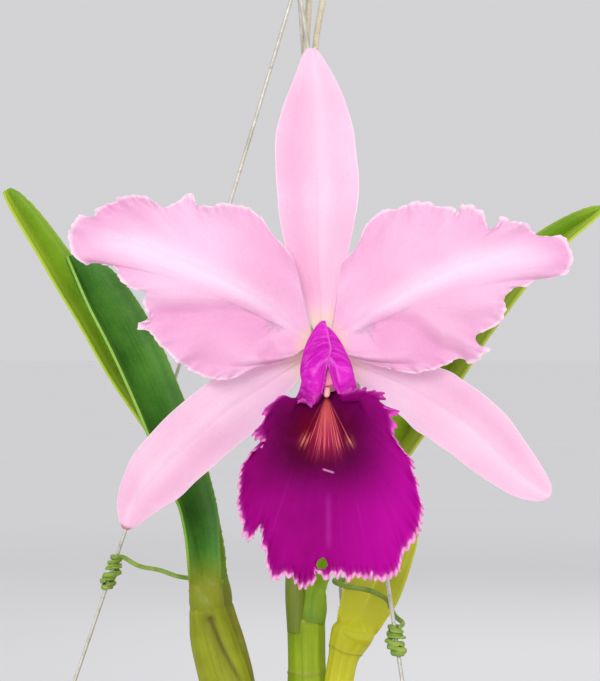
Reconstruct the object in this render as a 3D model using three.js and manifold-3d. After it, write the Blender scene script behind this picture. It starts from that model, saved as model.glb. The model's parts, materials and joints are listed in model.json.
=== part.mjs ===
// A flowering cattleya orchid in a clay pot, with the three-wire hanger clipped to the pot's rim.
// Millimetres, +Z up. The origin is the middle of the pot's underside, and the flower faces -Y.
import * as THREE from 'three';
import { mergeVertices } from 'three/addons/utils/BufferGeometryUtils.js';
import Module from 'manifold-3d';

const wasm = await Module();
wasm.setup();

// ---------------------------------------------------------------- driving dimensions
const GAP = 0.3; // clearance kept between neighbouring pieces

const POT_HEIGHT = 110;
const POT_FOOT_RADIUS = 63;
const POT_RIM_RADIUS = 93;
const POT_BAND_HEIGHT = 25; // the thicker band under the rim
const POT_BAND_STEP = 5.5; // how far that band stands out from the wall
const POT_WALL = 6.5;
const POT_FLOOR = 9;
const DRAIN_HOLES = 3;
const DRAIN_RADIUS = 6;
const DRAIN_CIRCLE = 34;
const DRAIN_FLATS = 12;
const ROUND = 40; // flats round the pot and its filling

const MEDIUM_TOP = 95;
const BARK_CHUNKS = 24;
const BARK_SEED = 41;
const BARK_SPREAD = 60; // the outermost chunks lie this far from the middle

const FLOWER = new THREE.Vector3(7, -54, 270); // where sepals, petals, lip and column meet
const BLADE = 1.0; // thickness of petals and lip
const SEPAL = 1.3;
const LEAF = 1.8;

const WIRE_RADIUS = 0.65;
const CROWN = new THREE.Vector3(-0.8, 0, 396.5); // where the three wires meet
const WIRE_AZIMUTHS = { left: 172, front: -65, back: 78 }; // degrees from +X
const WIRE_BOW = { left: 2.2, front: 0, back: 0.6 }; // how far each wire bends towards +X
const COLLAR_RADIUS = 4;
const COLLAR_LENGTH = 13;
const HOOK_WIRE_RADIUS = 1.5;
const HOOK_BEND = 12; // radius of the hook's bend, to the wire's middle
const HOOK_NECK = 12;
const STAKE_RADIUS = 1.1;
const TIE_RADIUS = 0.8;

// ---------------------------------------------------------------- small tools
const DEGREE = Math.PI / 180;
const UP = new THREE.Vector3(0, 0, 1);
const FRONT = new THREE.Vector3(0, -1, 0);

const vec = ([x, y, z]) => new THREE.Vector3(x, y, z);
const spline = (points) => new THREE.CatmullRomCurve3(points.map(vec), false, 'centripetal');

function smooth(t) {
  const c = Math.min(1, Math.max(0, t));
  return c * c * (3 - 2 * c);
}

// A smooth curve of numbers through evenly or unevenly spaced [place, value] stations.
function through(stations) {
  const slope = (a, b) => (b[1] - a[1]) / (b[0] - a[0]);
  return (x) => {
    let i = 0;
    while (i < stations.length - 2 && x > stations[i + 1][0]) i += 1;
    const a = stations[i];
    const b = stations[i + 1];
    const width = b[0] - a[0];
    const middle = slope(a, b);
    const before = i > 0 ? slope(stations[i - 1], a) : middle;
    const after = i < stations.length - 2 ? slope(b, stations[i + 2]) : middle;
    const startSlope = before * middle > 0 ? (2 * before * middle) / (before + middle) : 0;
    const endSlope = after * middle > 0 ? (2 * after * middle) / (after + middle) : 0;
    const t = Math.min(1, Math.max(0, (x - a[0]) / width));
    const h = t * t * (3 - 2 * t);
    const start = (i > 0 ? startSlope : middle) * width * t * (1 - t) * (1 - t);
    const end = (i < stations.length - 2 ? endSlope : middle) * width * t * t * (t - 1);
    return a[1] + (b[1] - a[1]) * h + start + end;
  };
}

function geometryFrom(points, triangles) {
  const geometry = new THREE.BufferGeometry();
  const numbers = points.flatMap((p) => [p.x, p.y, p.z]);
  geometry.setAttribute('position', new THREE.Float32BufferAttribute(numbers, 3));
  geometry.setIndex(triangles);
  return volume(geometry) < 0 ? turnedOut(geometry) : geometry;
}

function volume(geometry) {
  const p = geometry.attributes.position;
  const index = geometry.index.array;
  const [a, b, c] = [new THREE.Vector3(), new THREE.Vector3(), new THREE.Vector3()];
  let total = 0;
  for (let i = 0; i < index.length; i += 3) {
    a.fromBufferAttribute(p, index[i]);
    b.fromBufferAttribute(p, index[i + 1]);
    c.fromBufferAttribute(p, index[i + 2]);
    total += a.dot(b.cross(c)) / 6;
  }
  return total;
}

function turnedOut(geometry) {
  const index = geometry.index.array;
  for (let i = 0; i < index.length; i += 3) {
    [index[i], index[i + 1]] = [index[i + 1], index[i]];
  }
  return geometry;
}

// A closed blade of even thickness round a grid of mid-surface points. Both faces are split
// into triangles along the same diagonals.
function blade(rows, thickness) {
  const columns = rows[0].length;
  const points = [];
  const at = (i, j, side) => (i * columns + j) * 2 + side;
  const between = (list, from, to) => {
    const start = list[Math.max(0, from)];
    return list[Math.min(list.length - 1, to)].clone().sub(start);
  };
  for (let i = 0; i < rows.length; i += 1) {
    for (let j = 0; j < columns; j += 1) {
      const along = between(rows.map((row) => row[j]), i - 1, i + 1);
      const across = between(rows[i], j - 1, j + 1);
      const half = along.cross(across).normalize().multiplyScalar(thickness / 2);
      points.push(rows[i][j].clone().add(half), rows[i][j].clone().sub(half));
    }
  }
  const triangles = [];
  const quad = (a, b, c, d) => triangles.push(a, b, c, a, c, d);
  for (let i = 0; i < rows.length - 1; i += 1) {
    for (let j = 0; j < columns - 1; j += 1) {
      quad(at(i, j, 0), at(i + 1, j, 0), at(i + 1, j + 1, 0), at(i, j + 1, 0));
      triangles.push(at(i, j, 1), at(i + 1, j + 1, 1), at(i + 1, j, 1));
      triangles.push(at(i, j, 1), at(i, j + 1, 1), at(i + 1, j + 1, 1));
    }
    quad(at(i, 0, 0), at(i, 0, 1), at(i + 1, 0, 1), at(i + 1, 0, 0));
    const j = columns - 1;
    quad(at(i, j, 0), at(i + 1, j, 0), at(i + 1, j, 1), at(i, j, 1));
  }
  for (let j = 0; j < columns - 1; j += 1) {
    quad(at(0, j, 0), at(0, j + 1, 0), at(0, j + 1, 1), at(0, j, 1));
    const i = rows.length - 1;
    quad(at(i, j, 0), at(i, j, 1), at(i, j + 1, 1), at(i, j + 1, 0));
  }
  return geometryFrom(points, triangles);
}

// A solid skinned over closed rings of points, with a flat fan over each end.
function skin(rings) {
  const sides = rings[0].length;
  const points = rings.flat();
  const triangles = [];
  for (let i = 0; i < rings.length - 1; i += 1) {
    for (let j = 0; j < sides; j += 1) {
      const a = i * sides + j;
      const b = i * sides + ((j + 1) % sides);
      triangles.push(a, b, b + sides, a, b + sides, a + sides);
    }
  }
  const last = (rings.length - 1) * sides;
  for (let j = 1; j < sides - 1; j += 1) {
    triangles.push(0, j + 1, j, last, last + j, last + j + 1);
  }
  return geometryFrom(points, triangles);
}

// A round or oval rod through a list of points, its frame carried along without twist.
// radius is a number or a function of the place 0..1 along it.
function rod(points, radius, sides, flatten = 1) {
  const size = typeof radius === 'function' ? radius : () => radius;
  const tangents = points.map((p, i) => {
    const next = points[Math.min(points.length - 1, i + 1)];
    return next.clone().sub(points[Math.max(0, i - 1)]).normalize();
  });
  const hint = Math.abs(tangents[0].dot(FRONT)) > 0.9 ? UP : FRONT;
  const depth = hint.clone().addScaledVector(tangents[0], -hint.dot(tangents[0])).normalize();
  const rings = points.map((p, i) => {
    depth.addScaledVector(tangents[i], -depth.dot(tangents[i])).normalize();
    const side = tangents[i].clone().cross(depth);
    const r = size(i / (points.length - 1));
    return Array.from({ length: sides }, (_, j) => {
      const angle = (2 * Math.PI * j) / sides;
      const onRing = p.clone().addScaledVector(side, r * Math.cos(angle));
      return onRing.addScaledVector(depth, r * flatten * Math.sin(angle));
    });
  });
  return skin(rings);
}

function rodAlong(path, steps, radius, sides, flatten) {
  return rod(spline(path).getPoints(steps), radius, sides, flatten);
}

function asManifold(geometry) {
  const bare = geometry.clone();
  bare.deleteAttribute('normal');
  bare.deleteAttribute('uv');
  const merged = mergeVertices(bare, 1e-4);
  return new wasm.Manifold(new wasm.Mesh({
    numProp: 3,
    vertProperties: merged.attributes.position.array,
    triVerts: Uint32Array.from(merged.index.array),
  }));
}

function fromManifold(solid) {
  const { vertProperties, triVerts } = solid.getMesh();
  const geometry = new THREE.BufferGeometry();
  geometry.setAttribute('position', new THREE.BufferAttribute(Float32Array.from(vertProperties), 3));
  geometry.setIndex(Array.from(triVerts));
  return geometry;
}

// A solid of revolution about Z from [radius, height] points that start and end on the axis.
function turned(profile, sides) {
  const lathe = new THREE.LatheGeometry(profile.map(([r, z]) => new THREE.Vector2(r, z)), sides);
  return asManifold(lathe.rotateX(Math.PI / 2));
}

// An upright cylinder as a solid, from one height to another.
function upright(radius, sides, x, y, from, to) {
  const cylinder = new THREE.CylinderGeometry(radius, radius, to - from, sides);
  return asManifold(cylinder.rotateX(Math.PI / 2).translate(x, y, (from + to) / 2));
}

const orchid = new THREE.Group();
const flower = new THREE.Group(); // measured from the point where the flower's parts meet
flower.position.copy(FLOWER);
orchid.add(flower);

function piece(name, geometry, color, roughness, metalness = 0, parent = orchid) {
  const mesh = new THREE.Mesh(geometry, new THREE.MeshStandardMaterial({ color, roughness, metalness }));
  mesh.name = name;
  parent.add(mesh);
}

function flowerPiece(name, geometry, color, roughness) {
  piece(name, geometry, color, roughness, 0, flower);
}

// ---------------------------------------------------------------- pot
const BAND_BOTTOM = POT_HEIGHT - POT_BAND_HEIGHT;
const WALL_TOP_RADIUS = POT_RIM_RADIUS - POT_BAND_STEP;
const innerRadius = (z) => {
  const share = (z - POT_FLOOR) / (POT_HEIGHT - POT_FLOOR);
  return POT_FOOT_RADIUS - POT_WALL + (WALL_TOP_RADIUS - POT_FOOT_RADIUS + 1) * share;
};

function pot() {
  const bevel = 1.5;
  const profile = [
    [0, 0],
    [POT_FOOT_RADIUS - bevel, 0],
    [POT_FOOT_RADIUS, bevel],
    [WALL_TOP_RADIUS, BAND_BOTTOM],
    [POT_RIM_RADIUS - bevel, BAND_BOTTOM],
    [POT_RIM_RADIUS, BAND_BOTTOM + bevel],
    [POT_RIM_RADIUS, POT_HEIGHT - bevel],
    [POT_RIM_RADIUS - bevel, POT_HEIGHT],
    [innerRadius(POT_HEIGHT) + bevel, POT_HEIGHT],
    [innerRadius(POT_HEIGHT), POT_HEIGHT - bevel],
    [innerRadius(POT_FLOOR), POT_FLOOR],
    [0, POT_FLOOR],
  ];
  let solid = turned(profile, ROUND);
  for (let i = 0; i < DRAIN_HOLES; i += 1) {
    const angle = (2 * Math.PI * (i + 0.5)) / DRAIN_HOLES;
    const x = DRAIN_CIRCLE * Math.cos(angle);
    const y = DRAIN_CIRCLE * Math.sin(angle);
    solid = solid.subtract(upright(DRAIN_RADIUS, DRAIN_FLATS, x, y, -POT_FLOOR, 2 * POT_FLOOR));
  }
  return fromManifold(solid);
}
piece('pot', pot(), '#b8704a', 0.85);

// ---------------------------------------------------------------- rhizome, roots and bark
const RHIZOME_HEIGHT = 97;
const RHIZOME_RADIUS = 4.3;
const RHIZOME = [[-32, 14, RHIZOME_HEIGHT - 1], [-21, 9, RHIZOME_HEIGHT], [-15, 0, RHIZOME_HEIGHT],
  [-10, -6, RHIZOME_HEIGHT], [-3, -2, RHIZOME_HEIGHT], [3, 2, RHIZOME_HEIGHT], [11, 0, RHIZOME_HEIGHT + 0.5],
  [19, -5, RHIZOME_HEIGHT + 1.5]];
const ROOT_RADIUS = 1.7;
const ROOTS = [
  [[-27, 12, 96], [-40, 20, 100.6], [-54, 26, 99.5], [-64, 28, 88]],
  [[-11, -5, 96], [-22, -22, 100.4], [-30, -38, 99.8], [-33, -50, 87]],
  [[4, 1, 96], [10, -18, 100.6], [8, -36, 99.6], [4, -48, 86]],
  [[12, -2, 96], [30, -12, 100.4], [46, -14, 99.5], [58, -16, 87]],
  [[-1, 0, 96], [-4, 22, 100.5], [1, 37, 99.6], [6, 48, 86]],
];

// The same path with its first and last points moved outwards.
function lengthened(path, by) {
  const shift = (end, next) => vec(end).addScaledVector(vec(end).sub(vec(next)).normalize(), by).toArray();
  return [shift(path[0], path[1]), ...path.slice(1, -1), shift(path.at(-1), path.at(-2))];
}

// The creeping stem with its roots, or with swell the room that it takes up in the bark.
function rhizome(swell) {
  let solid = asManifold(rodAlong(lengthened(RHIZOME, swell), 16, RHIZOME_RADIUS + swell, 8));
  for (const root of ROOTS) {
    solid = solid.add(asManifold(rodAlong(lengthened(root, swell), 6, ROOT_RADIUS + swell, 5)));
  }
  return solid;
}
piece('rhizome', fromManifold(rhizome(0)), '#9a9a5a', 0.7);

// Repeatable draws between 0 and 1.
function draws(seed) {
  let state = seed;
  return () => {
    state = (state * 16807) % 2147483647;
    return state / 2147483647;
  };
}

// One flat-sided bark chip, wider at two opposite corners, lying nearly level about the origin.
function barkChunk(draw) {
  const cornerLean = 0.18;
  const tilt = 0.35;
  const chunk = new THREE.BoxGeometry(22 + 9 * draw(), 15 + 6 * draw(), 7 + 2 * draw());
  const corners = chunk.attributes.position;
  for (let k = 0; k < corners.count; k += 1) {
    const lean = cornerLean * Math.sign(corners.getX(k)) * Math.sign(corners.getZ(k));
    corners.setY(k, corners.getY(k) * (1 + lean));
  }
  chunk.rotateX(tilt * (draw() - 0.5));
  chunk.rotateY(tilt * (draw() - 0.5));
  return chunk.rotateZ(Math.PI * draw());
}

// Bark chips laid out on a sunflower spiral and sunk into one filled body that takes the roots and stakes.
function medium(stakes) {
  const wall = (z) => innerRadius(z) - GAP - 0.1;
  const base = POT_FLOOR + GAP;
  let solid = turned([[0, base], [wall(base), base], [wall(MEDIUM_TOP), MEDIUM_TOP], [0, MEDIUM_TOP]], ROUND);
  const draw = draws(BARK_SEED);
  const golden = Math.PI * (3 - Math.sqrt(5));
  for (let i = 0; i < BARK_CHUNKS; i += 1) {
    const radius = BARK_SPREAD * Math.sqrt((i + 0.5) / BARK_CHUNKS);
    const chunk = barkChunk(draw);
    const height = MEDIUM_TOP - 0.4 + 1.2 * draw();
    chunk.translate(radius * Math.cos(golden * i), radius * Math.sin(golden * i), height);
    solid = solid.add(asManifold(chunk));
  }
  solid = solid.subtract(rhizome(GAP));
  for (const stake of stakes) {
    const room = rodAlong(lengthened(stake, GAP), STAKE_STEPS, STAKE_RADIUS + GAP, 8);
    solid = solid.subtract(asManifold(room));
  }
  const bodies = solid.decompose().sort((a, b) => b.volume() - a.volume());
  return fromManifold(bodies[0]);
}

// ---------------------------------------------------------------- stakes
const STAKE_STEPS = 8;
const STAKES = {
  left: [[1.5, 18, 40], [1.5, 17, 120], [1.5, 13.5, 190], [1.8, 11, 280], [2.3, 5, 372], [3.4, 4.6, 395]],
  right: [[8, 18, 40], [7, 17, 120], [6, 14.5, 190], [5, 12, 280], [5.2, 9.5, 372], [8.2, 9, 392]],
};
for (const [side, path] of Object.entries(STAKES)) {
  piece(`stake_${side}`, rodAlong(path, STAKE_STEPS, STAKE_RADIUS, 8), '#d9d2b8', 0.6);
}
piece('bark_medium', medium(Object.values(STAKES)), '#5d4330', 0.95);

// ---------------------------------------------------------------- pseudobulbs
const SEAT = RHIZOME_HEIGHT + RHIZOME_RADIUS + GAP; // a bulb's foot stands on the rhizome
const BULBS = {
  left_front: {
    axis: [[-12, -6.5, SEAT], [-18, -9, 130], [-26, -10, 158.5], [-30.5, -10.5, 175], [-32.4, -11, 187]],
    radius: [[0, 4.2], [0.2, 6.6], [0.45, 8.3], [0.65, 7.6], [0.84, 6.1], [1, 4.7]],
    color: '#9db22a',
  },
  left_back: {
    axis: [[-20, 8.5, SEAT], [-20.3, 9.5, 130], [-23.8, 9, 156], [-26.3, 9, 172], [-28.8, 9, 184]],
    radius: [[0, 4.2], [0.2, 6.2], [0.45, 7.6], [0.65, 6.9], [0.84, 5.7], [1, 4.4]],
    color: '#a3ab35',
  },
  centre: {
    axis: [[3, 2.5, SEAT], [3, 3, 125], [2.6, 3, 150], [2.3, 3, 165], [2.3, 3, 178]],
    radius: [[0, 4.2], [0.2, 6.6], [0.42, 7.2], [0.7, 5.9], [0.9, 6.7], [1, 6.3]],
    color: '#8fa832',
  },
  new_growth: {
    axis: [[14.5, -2, SEAT + 0.9], [13, -2.5, 130], [13, -2, 152], [15.2, -2, 165], [18.6, -2, 174]],
    radius: [[0, 3.6], [0.3, 4.6], [0.7, 4.8], [0.85, 6], [1, 7.4]],
    color: '#c3cc3c',
  },
};
for (const [name, bulb] of Object.entries(BULBS)) {
  piece(`pseudobulb_${name}`, rodAlong(bulb.axis, 10, through(bulb.radius), 12, 0.85), bulb.color, 0.5);
}

// ---------------------------------------------------------------- leaves
// A leaf folded along its midrib. Its halves stand at `fold` degrees to the leaf's own plane, and
// `roll` turns the whole leaf about its midrib, so that one half faces the front more than the other.
function leaf({ midrib, halfWidth, fold, roll }, steps = 14) {
  const line = spline(midrib);
  const width = through(halfWidth);
  const shares = [-1, -0.62, -0.25, 0.25, 0.62, 1];
  const rows = [];
  for (let i = 0; i <= steps; i += 1) {
    const t = i / steps;
    const tangent = line.getTangent(t);
    const side = tangent.clone().cross(FRONT).normalize();
    const face = side.clone().cross(tangent).normalize();
    const turn = roll(t) * DEGREE;
    const across = side.clone().multiplyScalar(Math.cos(turn)).addScaledVector(face, Math.sin(turn));
    const upward = face.clone().multiplyScalar(Math.cos(turn)).addScaledVector(side, -Math.sin(turn));
    const open = fold(t) * DEGREE;
    rows.push(shares.map((share) => {
      const reach = width(t) * share * Math.cos(open);
      const rise = width(t) * Math.abs(share) * Math.sin(open);
      return line.getPoint(t).addScaledVector(across, reach).addScaledVector(upward, rise);
    }));
  }
  return blade(rows, LEAF);
}

const LEAVES = {
  left_front: {
    midrib: [[-32.5, -11, 188.1], [-36, -12.3, 203], [-43.8, -14, 224], [-49.7, -16, 241.5], [-60, -18, 265],
      [-67.6, -19, 283.5], [-76, -18, 300]],
    halfWidth: [[0, 4.6], [0.12, 7], [0.3, 14], [0.55, 15.5], [0.75, 13.5], [0.9, 8], [1, 1]],
    fold: through([[0, 30], [0.25, 58], [1, 52]]),
    roll: through([[0, -6], [0.25, -22], [1, -24]]),
    color: '#4b8a2c',
  },
  left_back: {
    midrib: [[-28.5, 9, 185.1], [-31.5, 8, 198], [-38, 4, 216], [-48.4, -2, 239], [-62, -6, 259.5],
      [-75.5, -8, 283.5], [-87.6, -9, 303.4], [-99.8, -8, 322.8]],
    halfWidth: [[0, 4.3], [0.12, 6], [0.3, 10], [0.6, 12], [0.8, 10], [0.93, 6], [1, 1]],
    fold: through([[0, 30], [0.3, 55], [1, 50]]),
    roll: through([[0, -4], [0.3, -20], [1, -22]]),
    color: '#69a023',
  },
  right: {
    midrib: [[5.4, 5.8, 179.2], [6.8, 6.5, 191], [13.6, 7.5, 207.4], [22.5, 8, 221], [34.5, 8, 236],
      [51.2, 8, 261], [61, 8, 276], [74, 7, 292.5], [88.8, 5, 306.6], [104.3, 3, 317.6]],
    halfWidth: [[0, 4.6], [0.12, 6.5], [0.3, 11], [0.6, 14], [0.8, 11.5], [0.93, 6.5], [1, 1]],
    fold: through([[0, 30], [0.25, 58], [1, 60]]),
    roll: through([[0, 4], [0.3, 13], [1, 13]]),
    color: '#84ac2a',
  },
  new_growth: {
    midrib: [[18.9, -2, 175], [23.8, -2, 185], [29.5, -2, 195], [35, -2, 203.5], [41, -2, 211]],
    halfWidth: [[0, 7.4], [0.2, 10.2], [0.5, 10], [0.75, 6.6], [1, 0.8]],
    fold: through([[0, 12], [0.5, 25], [1, 20]]),
    roll: () => 0,
    color: '#c9cf3f',
  },
};
for (const [name, parts] of Object.entries(LEAVES)) {
  piece(`leaf_${name}`, leaf(parts), parts.color, 0.45);
}

// ---------------------------------------------------------------- sepals
// A sepal is a strip along its middle line, its edges cupped forward.
function sepal({ middle, halfWidth, cup }) {
  const line = spline(middle);
  const width = through(halfWidth);
  const steps = 14;
  const columns = 6;
  const rows = [];
  for (let i = 0; i <= steps; i += 1) {
    const t = i / steps;
    const across = line.getTangent(t).cross(FRONT).normalize();
    const row = [];
    for (let j = 0; j <= columns; j += 1) {
      const share = (2 * j) / columns - 1;
      const forward = cup * width(t) * (share * share - 0.4);
      row.push(line.getPoint(t).addScaledVector(across, width(t) * share).addScaledVector(FRONT, forward));
    }
    rows.push(row);
  }
  return blade(rows, SEPAL);
}

const SEPALS = {
  dorsal_sepal: {
    middle: [[0, 0.7, 4], [-0.3, 1.8, 15], [-1.2, 3.2, 29.5], [-1.4, 4.2, 42], [-1.2, 4.8, 51],
      [-2.1, 5.2, 64], [-2.2, 5.2, 74], [-2.4, 4.8, 83.5], [-3.6, 3.8, 96]],
    halfWidth: [[0, 2.2], [0.12, 5.5], [0.3, 11], [0.5, 13.3], [0.62, 13.1],
      [0.77, 11], [0.88, 7.6], [0.96, 4], [1, 1.8]],
    cup: 0.12,
  },
  lateral_sepal_left: {
    middle: [[-3.4, 0.7, -2.4], [-16.6, 2, -11.3], [-29.5, 3, -19.7], [-46.6, 4, -34.5], [-54.3, 4, -43],
      [-59.4, 3, -50], [-63.2, 2, -58.5]],
    halfWidth: [[0, 2.2], [0.15, 6.6], [0.35, 11], [0.6, 10.4],
      [0.77, 8], [0.9, 5.2], [0.97, 2.8], [1, 1.2]],
    cup: 0.1,
  },
  lateral_sepal_right: {
    middle: [[3.4, 0.7, -2.4], [18, 2, -8.7], [31.9, 3, -15.2], [40.3, 4, -20.4], [49.3, 4, -27],
      [57.3, 4, -34.8], [65, 3, -42], [73.2, 2, -48]],
    halfWidth: [[0, 2.2], [0.15, 6.6], [0.38, 11], [0.6, 10.6],
      [0.78, 8.4], [0.9, 6], [0.97, 3.6], [1, 1.8]],
    cup: 0.1,
  },
};
for (const [name, parts] of Object.entries(SEPALS)) {
  flowerPiece(name, sepal(parts), '#e9b6dd', 0.6);
}

// ---------------------------------------------------------------- petals
// A petal fans out from its narrow claw. Its margin is a list of [angle, reach]: degrees up from +X
// and millimetres from the flower's centre.
const PETAL_CLAW = 3.6; // how far from the flower's centre a petal starts
const PETAL_RUFFLE = 2.2; // how far the waved margin swings forward and back
const PETAL_SEAT = 1; // how far in front of that centre the claw's middle lies
const PETAL_ARCH = 5; // the forward sweep from the claw to the middle
const PETAL_DROOP = 2; // and how far it falls back again towards the margin
const PETAL_CROWN = 1.5;
const PETAL_ROWS = 7;
const PETALS = {
  left: {
    heart: 158,
    clawSpread: 0.35,
    margin: [[110, 30], [112, 36], [116, 46], [121, 52], [127, 57], [132, 63], [137, 66], [140.5, 74],
      [144, 81], [148, 83], [152, 87.5], [156, 88], [159.4, 84], [161.4, 70], [164, 59], [168, 57],
      [172.5, 58.5], [176, 54.5], [181, 50.5], [187, 45], [193, 40], [198, 34], [201, 24]],
    waves: 7,
  },
  right: {
    heart: 22,
    clawSpread: 0.35,
    margin: [[72, 30], [70.5, 38], [66, 47], [60, 52], [54, 57.5], [48.5, 60.5], [43.5, 63], [39, 67],
      [34.5, 68.5], [31, 76], [27.5, 78.5], [24, 84], [20, 84.5], [17, 79], [16, 65], [12, 60],
      [8, 57.5], [3.5, 50], [-1.5, 52.5], [-6, 46.5], [-11, 38], [-16, 31], [-18.5, 23]],
    waves: 7,
  },
};

// How far forward a petal lies: u runs 0..1 from claw to margin, v 0..1 along the margin.
function petalRise(u, v, waves) {
  const arch = PETAL_ARCH * smooth(u / 0.6) - PETAL_DROOP * smooth((u - 0.6) / 0.4);
  const crown = PETAL_CROWN * u * Math.sin(Math.PI * v);
  const fade = smooth((u - 0.55) / 0.45) * smooth(6 * Math.min(v, 1 - v));
  return PETAL_SEAT + arch + crown + PETAL_RUFFLE * fade * Math.sin(2 * Math.PI * waves * v);
}

function petal({ heart, clawSpread, margin, waves }) {
  const angle = through(margin.map(([a], i) => [i, a]));
  const reach = through(margin.map(([, r], i) => [i, r]));
  const last = margin.length - 1;
  const inPlane = (degrees, r) => vec([r * Math.cos(degrees * DEGREE), 0, r * Math.sin(degrees * DEGREE)]);
  const rows = [];
  for (let i = 0; i <= PETAL_ROWS; i += 1) {
    const u = i / PETAL_ROWS;
    rows.push(Array.from({ length: 2 * last + 1 }, (_, j) => {
      const place = j / 2;
      const start = inPlane(heart + clawSpread * (angle(place) - heart), PETAL_CLAW);
      const end = inPlane(angle(place), reach(place));
      return start.lerp(end, u).addScaledVector(FRONT, petalRise(u, place / last, waves));
    }));
  }
  return blade(rows, BLADE);
}
for (const [side, parts] of Object.entries(PETALS)) {
  flowerPiece(`petal_${side}`, petal(parts), '#e8b0dc', 0.6);
}

// ---------------------------------------------------------------- lip
// The lip is rolled round the column: its rings are ovals given by a top point, a bottom point and a
// half width, and past the last ring it flares into the frilled front lobe.
const LIP_RINGS = [
  { top: [0, -2.5, 5], bottom: [0, -2.3, -4.6], halfWidth: 4.4 },
  { top: [-0.1, -6.5, 7], bottom: [0.2, -9, -9], halfWidth: 6 },
  { top: [0.9, -14, 1.5], bottom: [0.8, -17.5, -13.5], halfWidth: 8.2 },
  { top: [1.8, -19, -2], bottom: [1.4, -25, -17], halfWidth: 8.4 },
];
const LIP_WRAP = 187; // each side lobe reaches this many degrees from the lip's middle, past the other
const LIP_LAP = 0.75; // the left lobe lies this far outside the rings over the column, the right one inside
// The free margin, from the left lobe's corner over the column round the front lobe to the right one's.
const LIP_MARGIN = [[3, -22.8, -4.4], [-1.6, -25.5, -9.5], [-4.6, -28, -13.4], [-7.9, -29.5, -13.4],
  [-13.3, -30.5, -14], [-17.2, -32.5, -18.6], [-21.4, -35.5, -25.4], [-25, -39, -36.5], [-25.8, -41.5, -47.5],
  [-24.3, -43.3, -55.5], [-20, -44.3, -58.5], [-17.6, -45, -64], [-15.2, -46, -69.2], [-6, -47, -71],
  [2.3, -47.5, -68.7], [10, -47, -69.4], [18, -46, -68.8], [25.5, -44, -61], [30, -42, -50.7],
  [28.6, -40, -40], [24.6, -37, -30], [22.3, -34, -22.2], [19, -32, -16.4], [13.5, -30.5, -12.7],
  [7.5, -29, -11.4], [4.4, -25.5, -8.2], [1.4, -22.2, -4.6]];
const LIP_WAVES = 16;
const LIP_COLUMNS = 64;
const LIP_TUBE_STEPS = 2; // rows from one ring to the next
const LIP_FLARE_STEPS = 6; // rows from the last ring to the margin
const LIP_FRILL = 1.4;
const THROAT_SHARE = 0.42; // where between the last ring and the margin the throat's bend lies
const THROAT_PUSH = 7; // how far that bend stands forward of the straight way
const THROAT_DROP = 1.5;

function lipRingPoint({ top, bottom, halfWidth }, turn) {
  const high = vec(top);
  const low = vec(bottom);
  const middle = high.clone().add(low).multiplyScalar(0.5);
  const rise = high.sub(low).multiplyScalar(0.5);
  const angle = turn * LIP_WRAP * DEGREE;
  const out = rise.multiplyScalar(-Math.cos(angle)).add(vec([halfWidth * Math.sin(angle), 0, 0]));
  const lap = -LIP_LAP * Math.sign(turn) * smooth((Math.abs(turn) - 0.6) / 0.35);
  return middle.add(out.setLength(out.length() + lap));
}

// One rib of the lip, from the claw along the tube and out to the margin. v runs 0..1 round the margin.
function lipRib(v, marginLine) {
  const w = 2 * v - 1;
  const turn = 0.45 * w + 0.55 * w ** 3;
  const rings = LIP_RINGS.map((ring) => lipRingPoint(ring, turn));
  const margin = marginLine.getPoint(v);
  const low = 0.5 + 0.5 * Math.cos(turn * Math.PI);
  const throat = rings.at(-1).clone().lerp(margin, THROAT_SHARE);
  throat.addScaledVector(FRONT, THROAT_PUSH * low).addScaledVector(UP, -THROAT_DROP * low);
  return { line: new THREE.CatmullRomCurve3([...rings, throat, margin], false, 'centripetal'), v, low };
}

function lip() {
  const marginLine = spline(LIP_MARGIN);
  const ribs = Array.from({ length: LIP_COLUMNS + 1 }, (_, j) => lipRib(j / LIP_COLUMNS, marginLine));
  const tubeEnd = (LIP_RINGS.length - 1) / (LIP_RINGS.length + 1);
  const tubeRows = LIP_TUBE_STEPS * (LIP_RINGS.length - 1);
  const rows = [];
  for (let i = 0; i <= tubeRows + LIP_FLARE_STEPS; i += 1) {
    const flare = Math.max(0, i - tubeRows) / LIP_FLARE_STEPS;
    const t = i <= tubeRows ? (tubeEnd * i) / tubeRows : tubeEnd + (1 - tubeEnd) * flare;
    rows.push(ribs.map(({ line, v, low }) => {
      const frill = LIP_FRILL * smooth((flare - 0.6) / 0.4) * (0.3 + 0.7 * smooth(4 * low));
      const wave = 2 * Math.PI * LIP_WAVES * v;
      const waved = line.getPoint(t).addScaledVector(FRONT, frill * Math.sin(wave));
      return waved.addScaledVector(line.getTangent(1), 0.5 * frill * Math.cos(wave));
    }));
  }
  return blade(rows, BLADE);
}
flowerPiece('lip', lip(), '#a8108c', 0.55);

// ---------------------------------------------------------------- column
const COLUMN = [[0, 1, 0], [0.1, -6, -1.2], [0.6, -14, -5.4], [1.2, -21, -11.1]];
const columnRadius = through([[0, 2.4], [0.4, 2.4], [0.8, 3], [1, 2.3]]);
flowerPiece('column', rodAlong(COLUMN, 9, columnRadius, 10, 0.9), '#d86fb4', 0.5);

const ANTHER_CAP = [[1.2, -21.6, -11.6], [1.3, -22.4, -12.4], [1.3, -23.2, -13.2], [1.4, -23.7, -13.9]];
const capRadius = through([[0, 1.4], [0.5, 1.3], [1, 0.6]]);
flowerPiece('anther_cap', rodAlong(ANTHER_CAP, 4, capRadius, 8), '#f1d3b8', 0.5);

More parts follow.
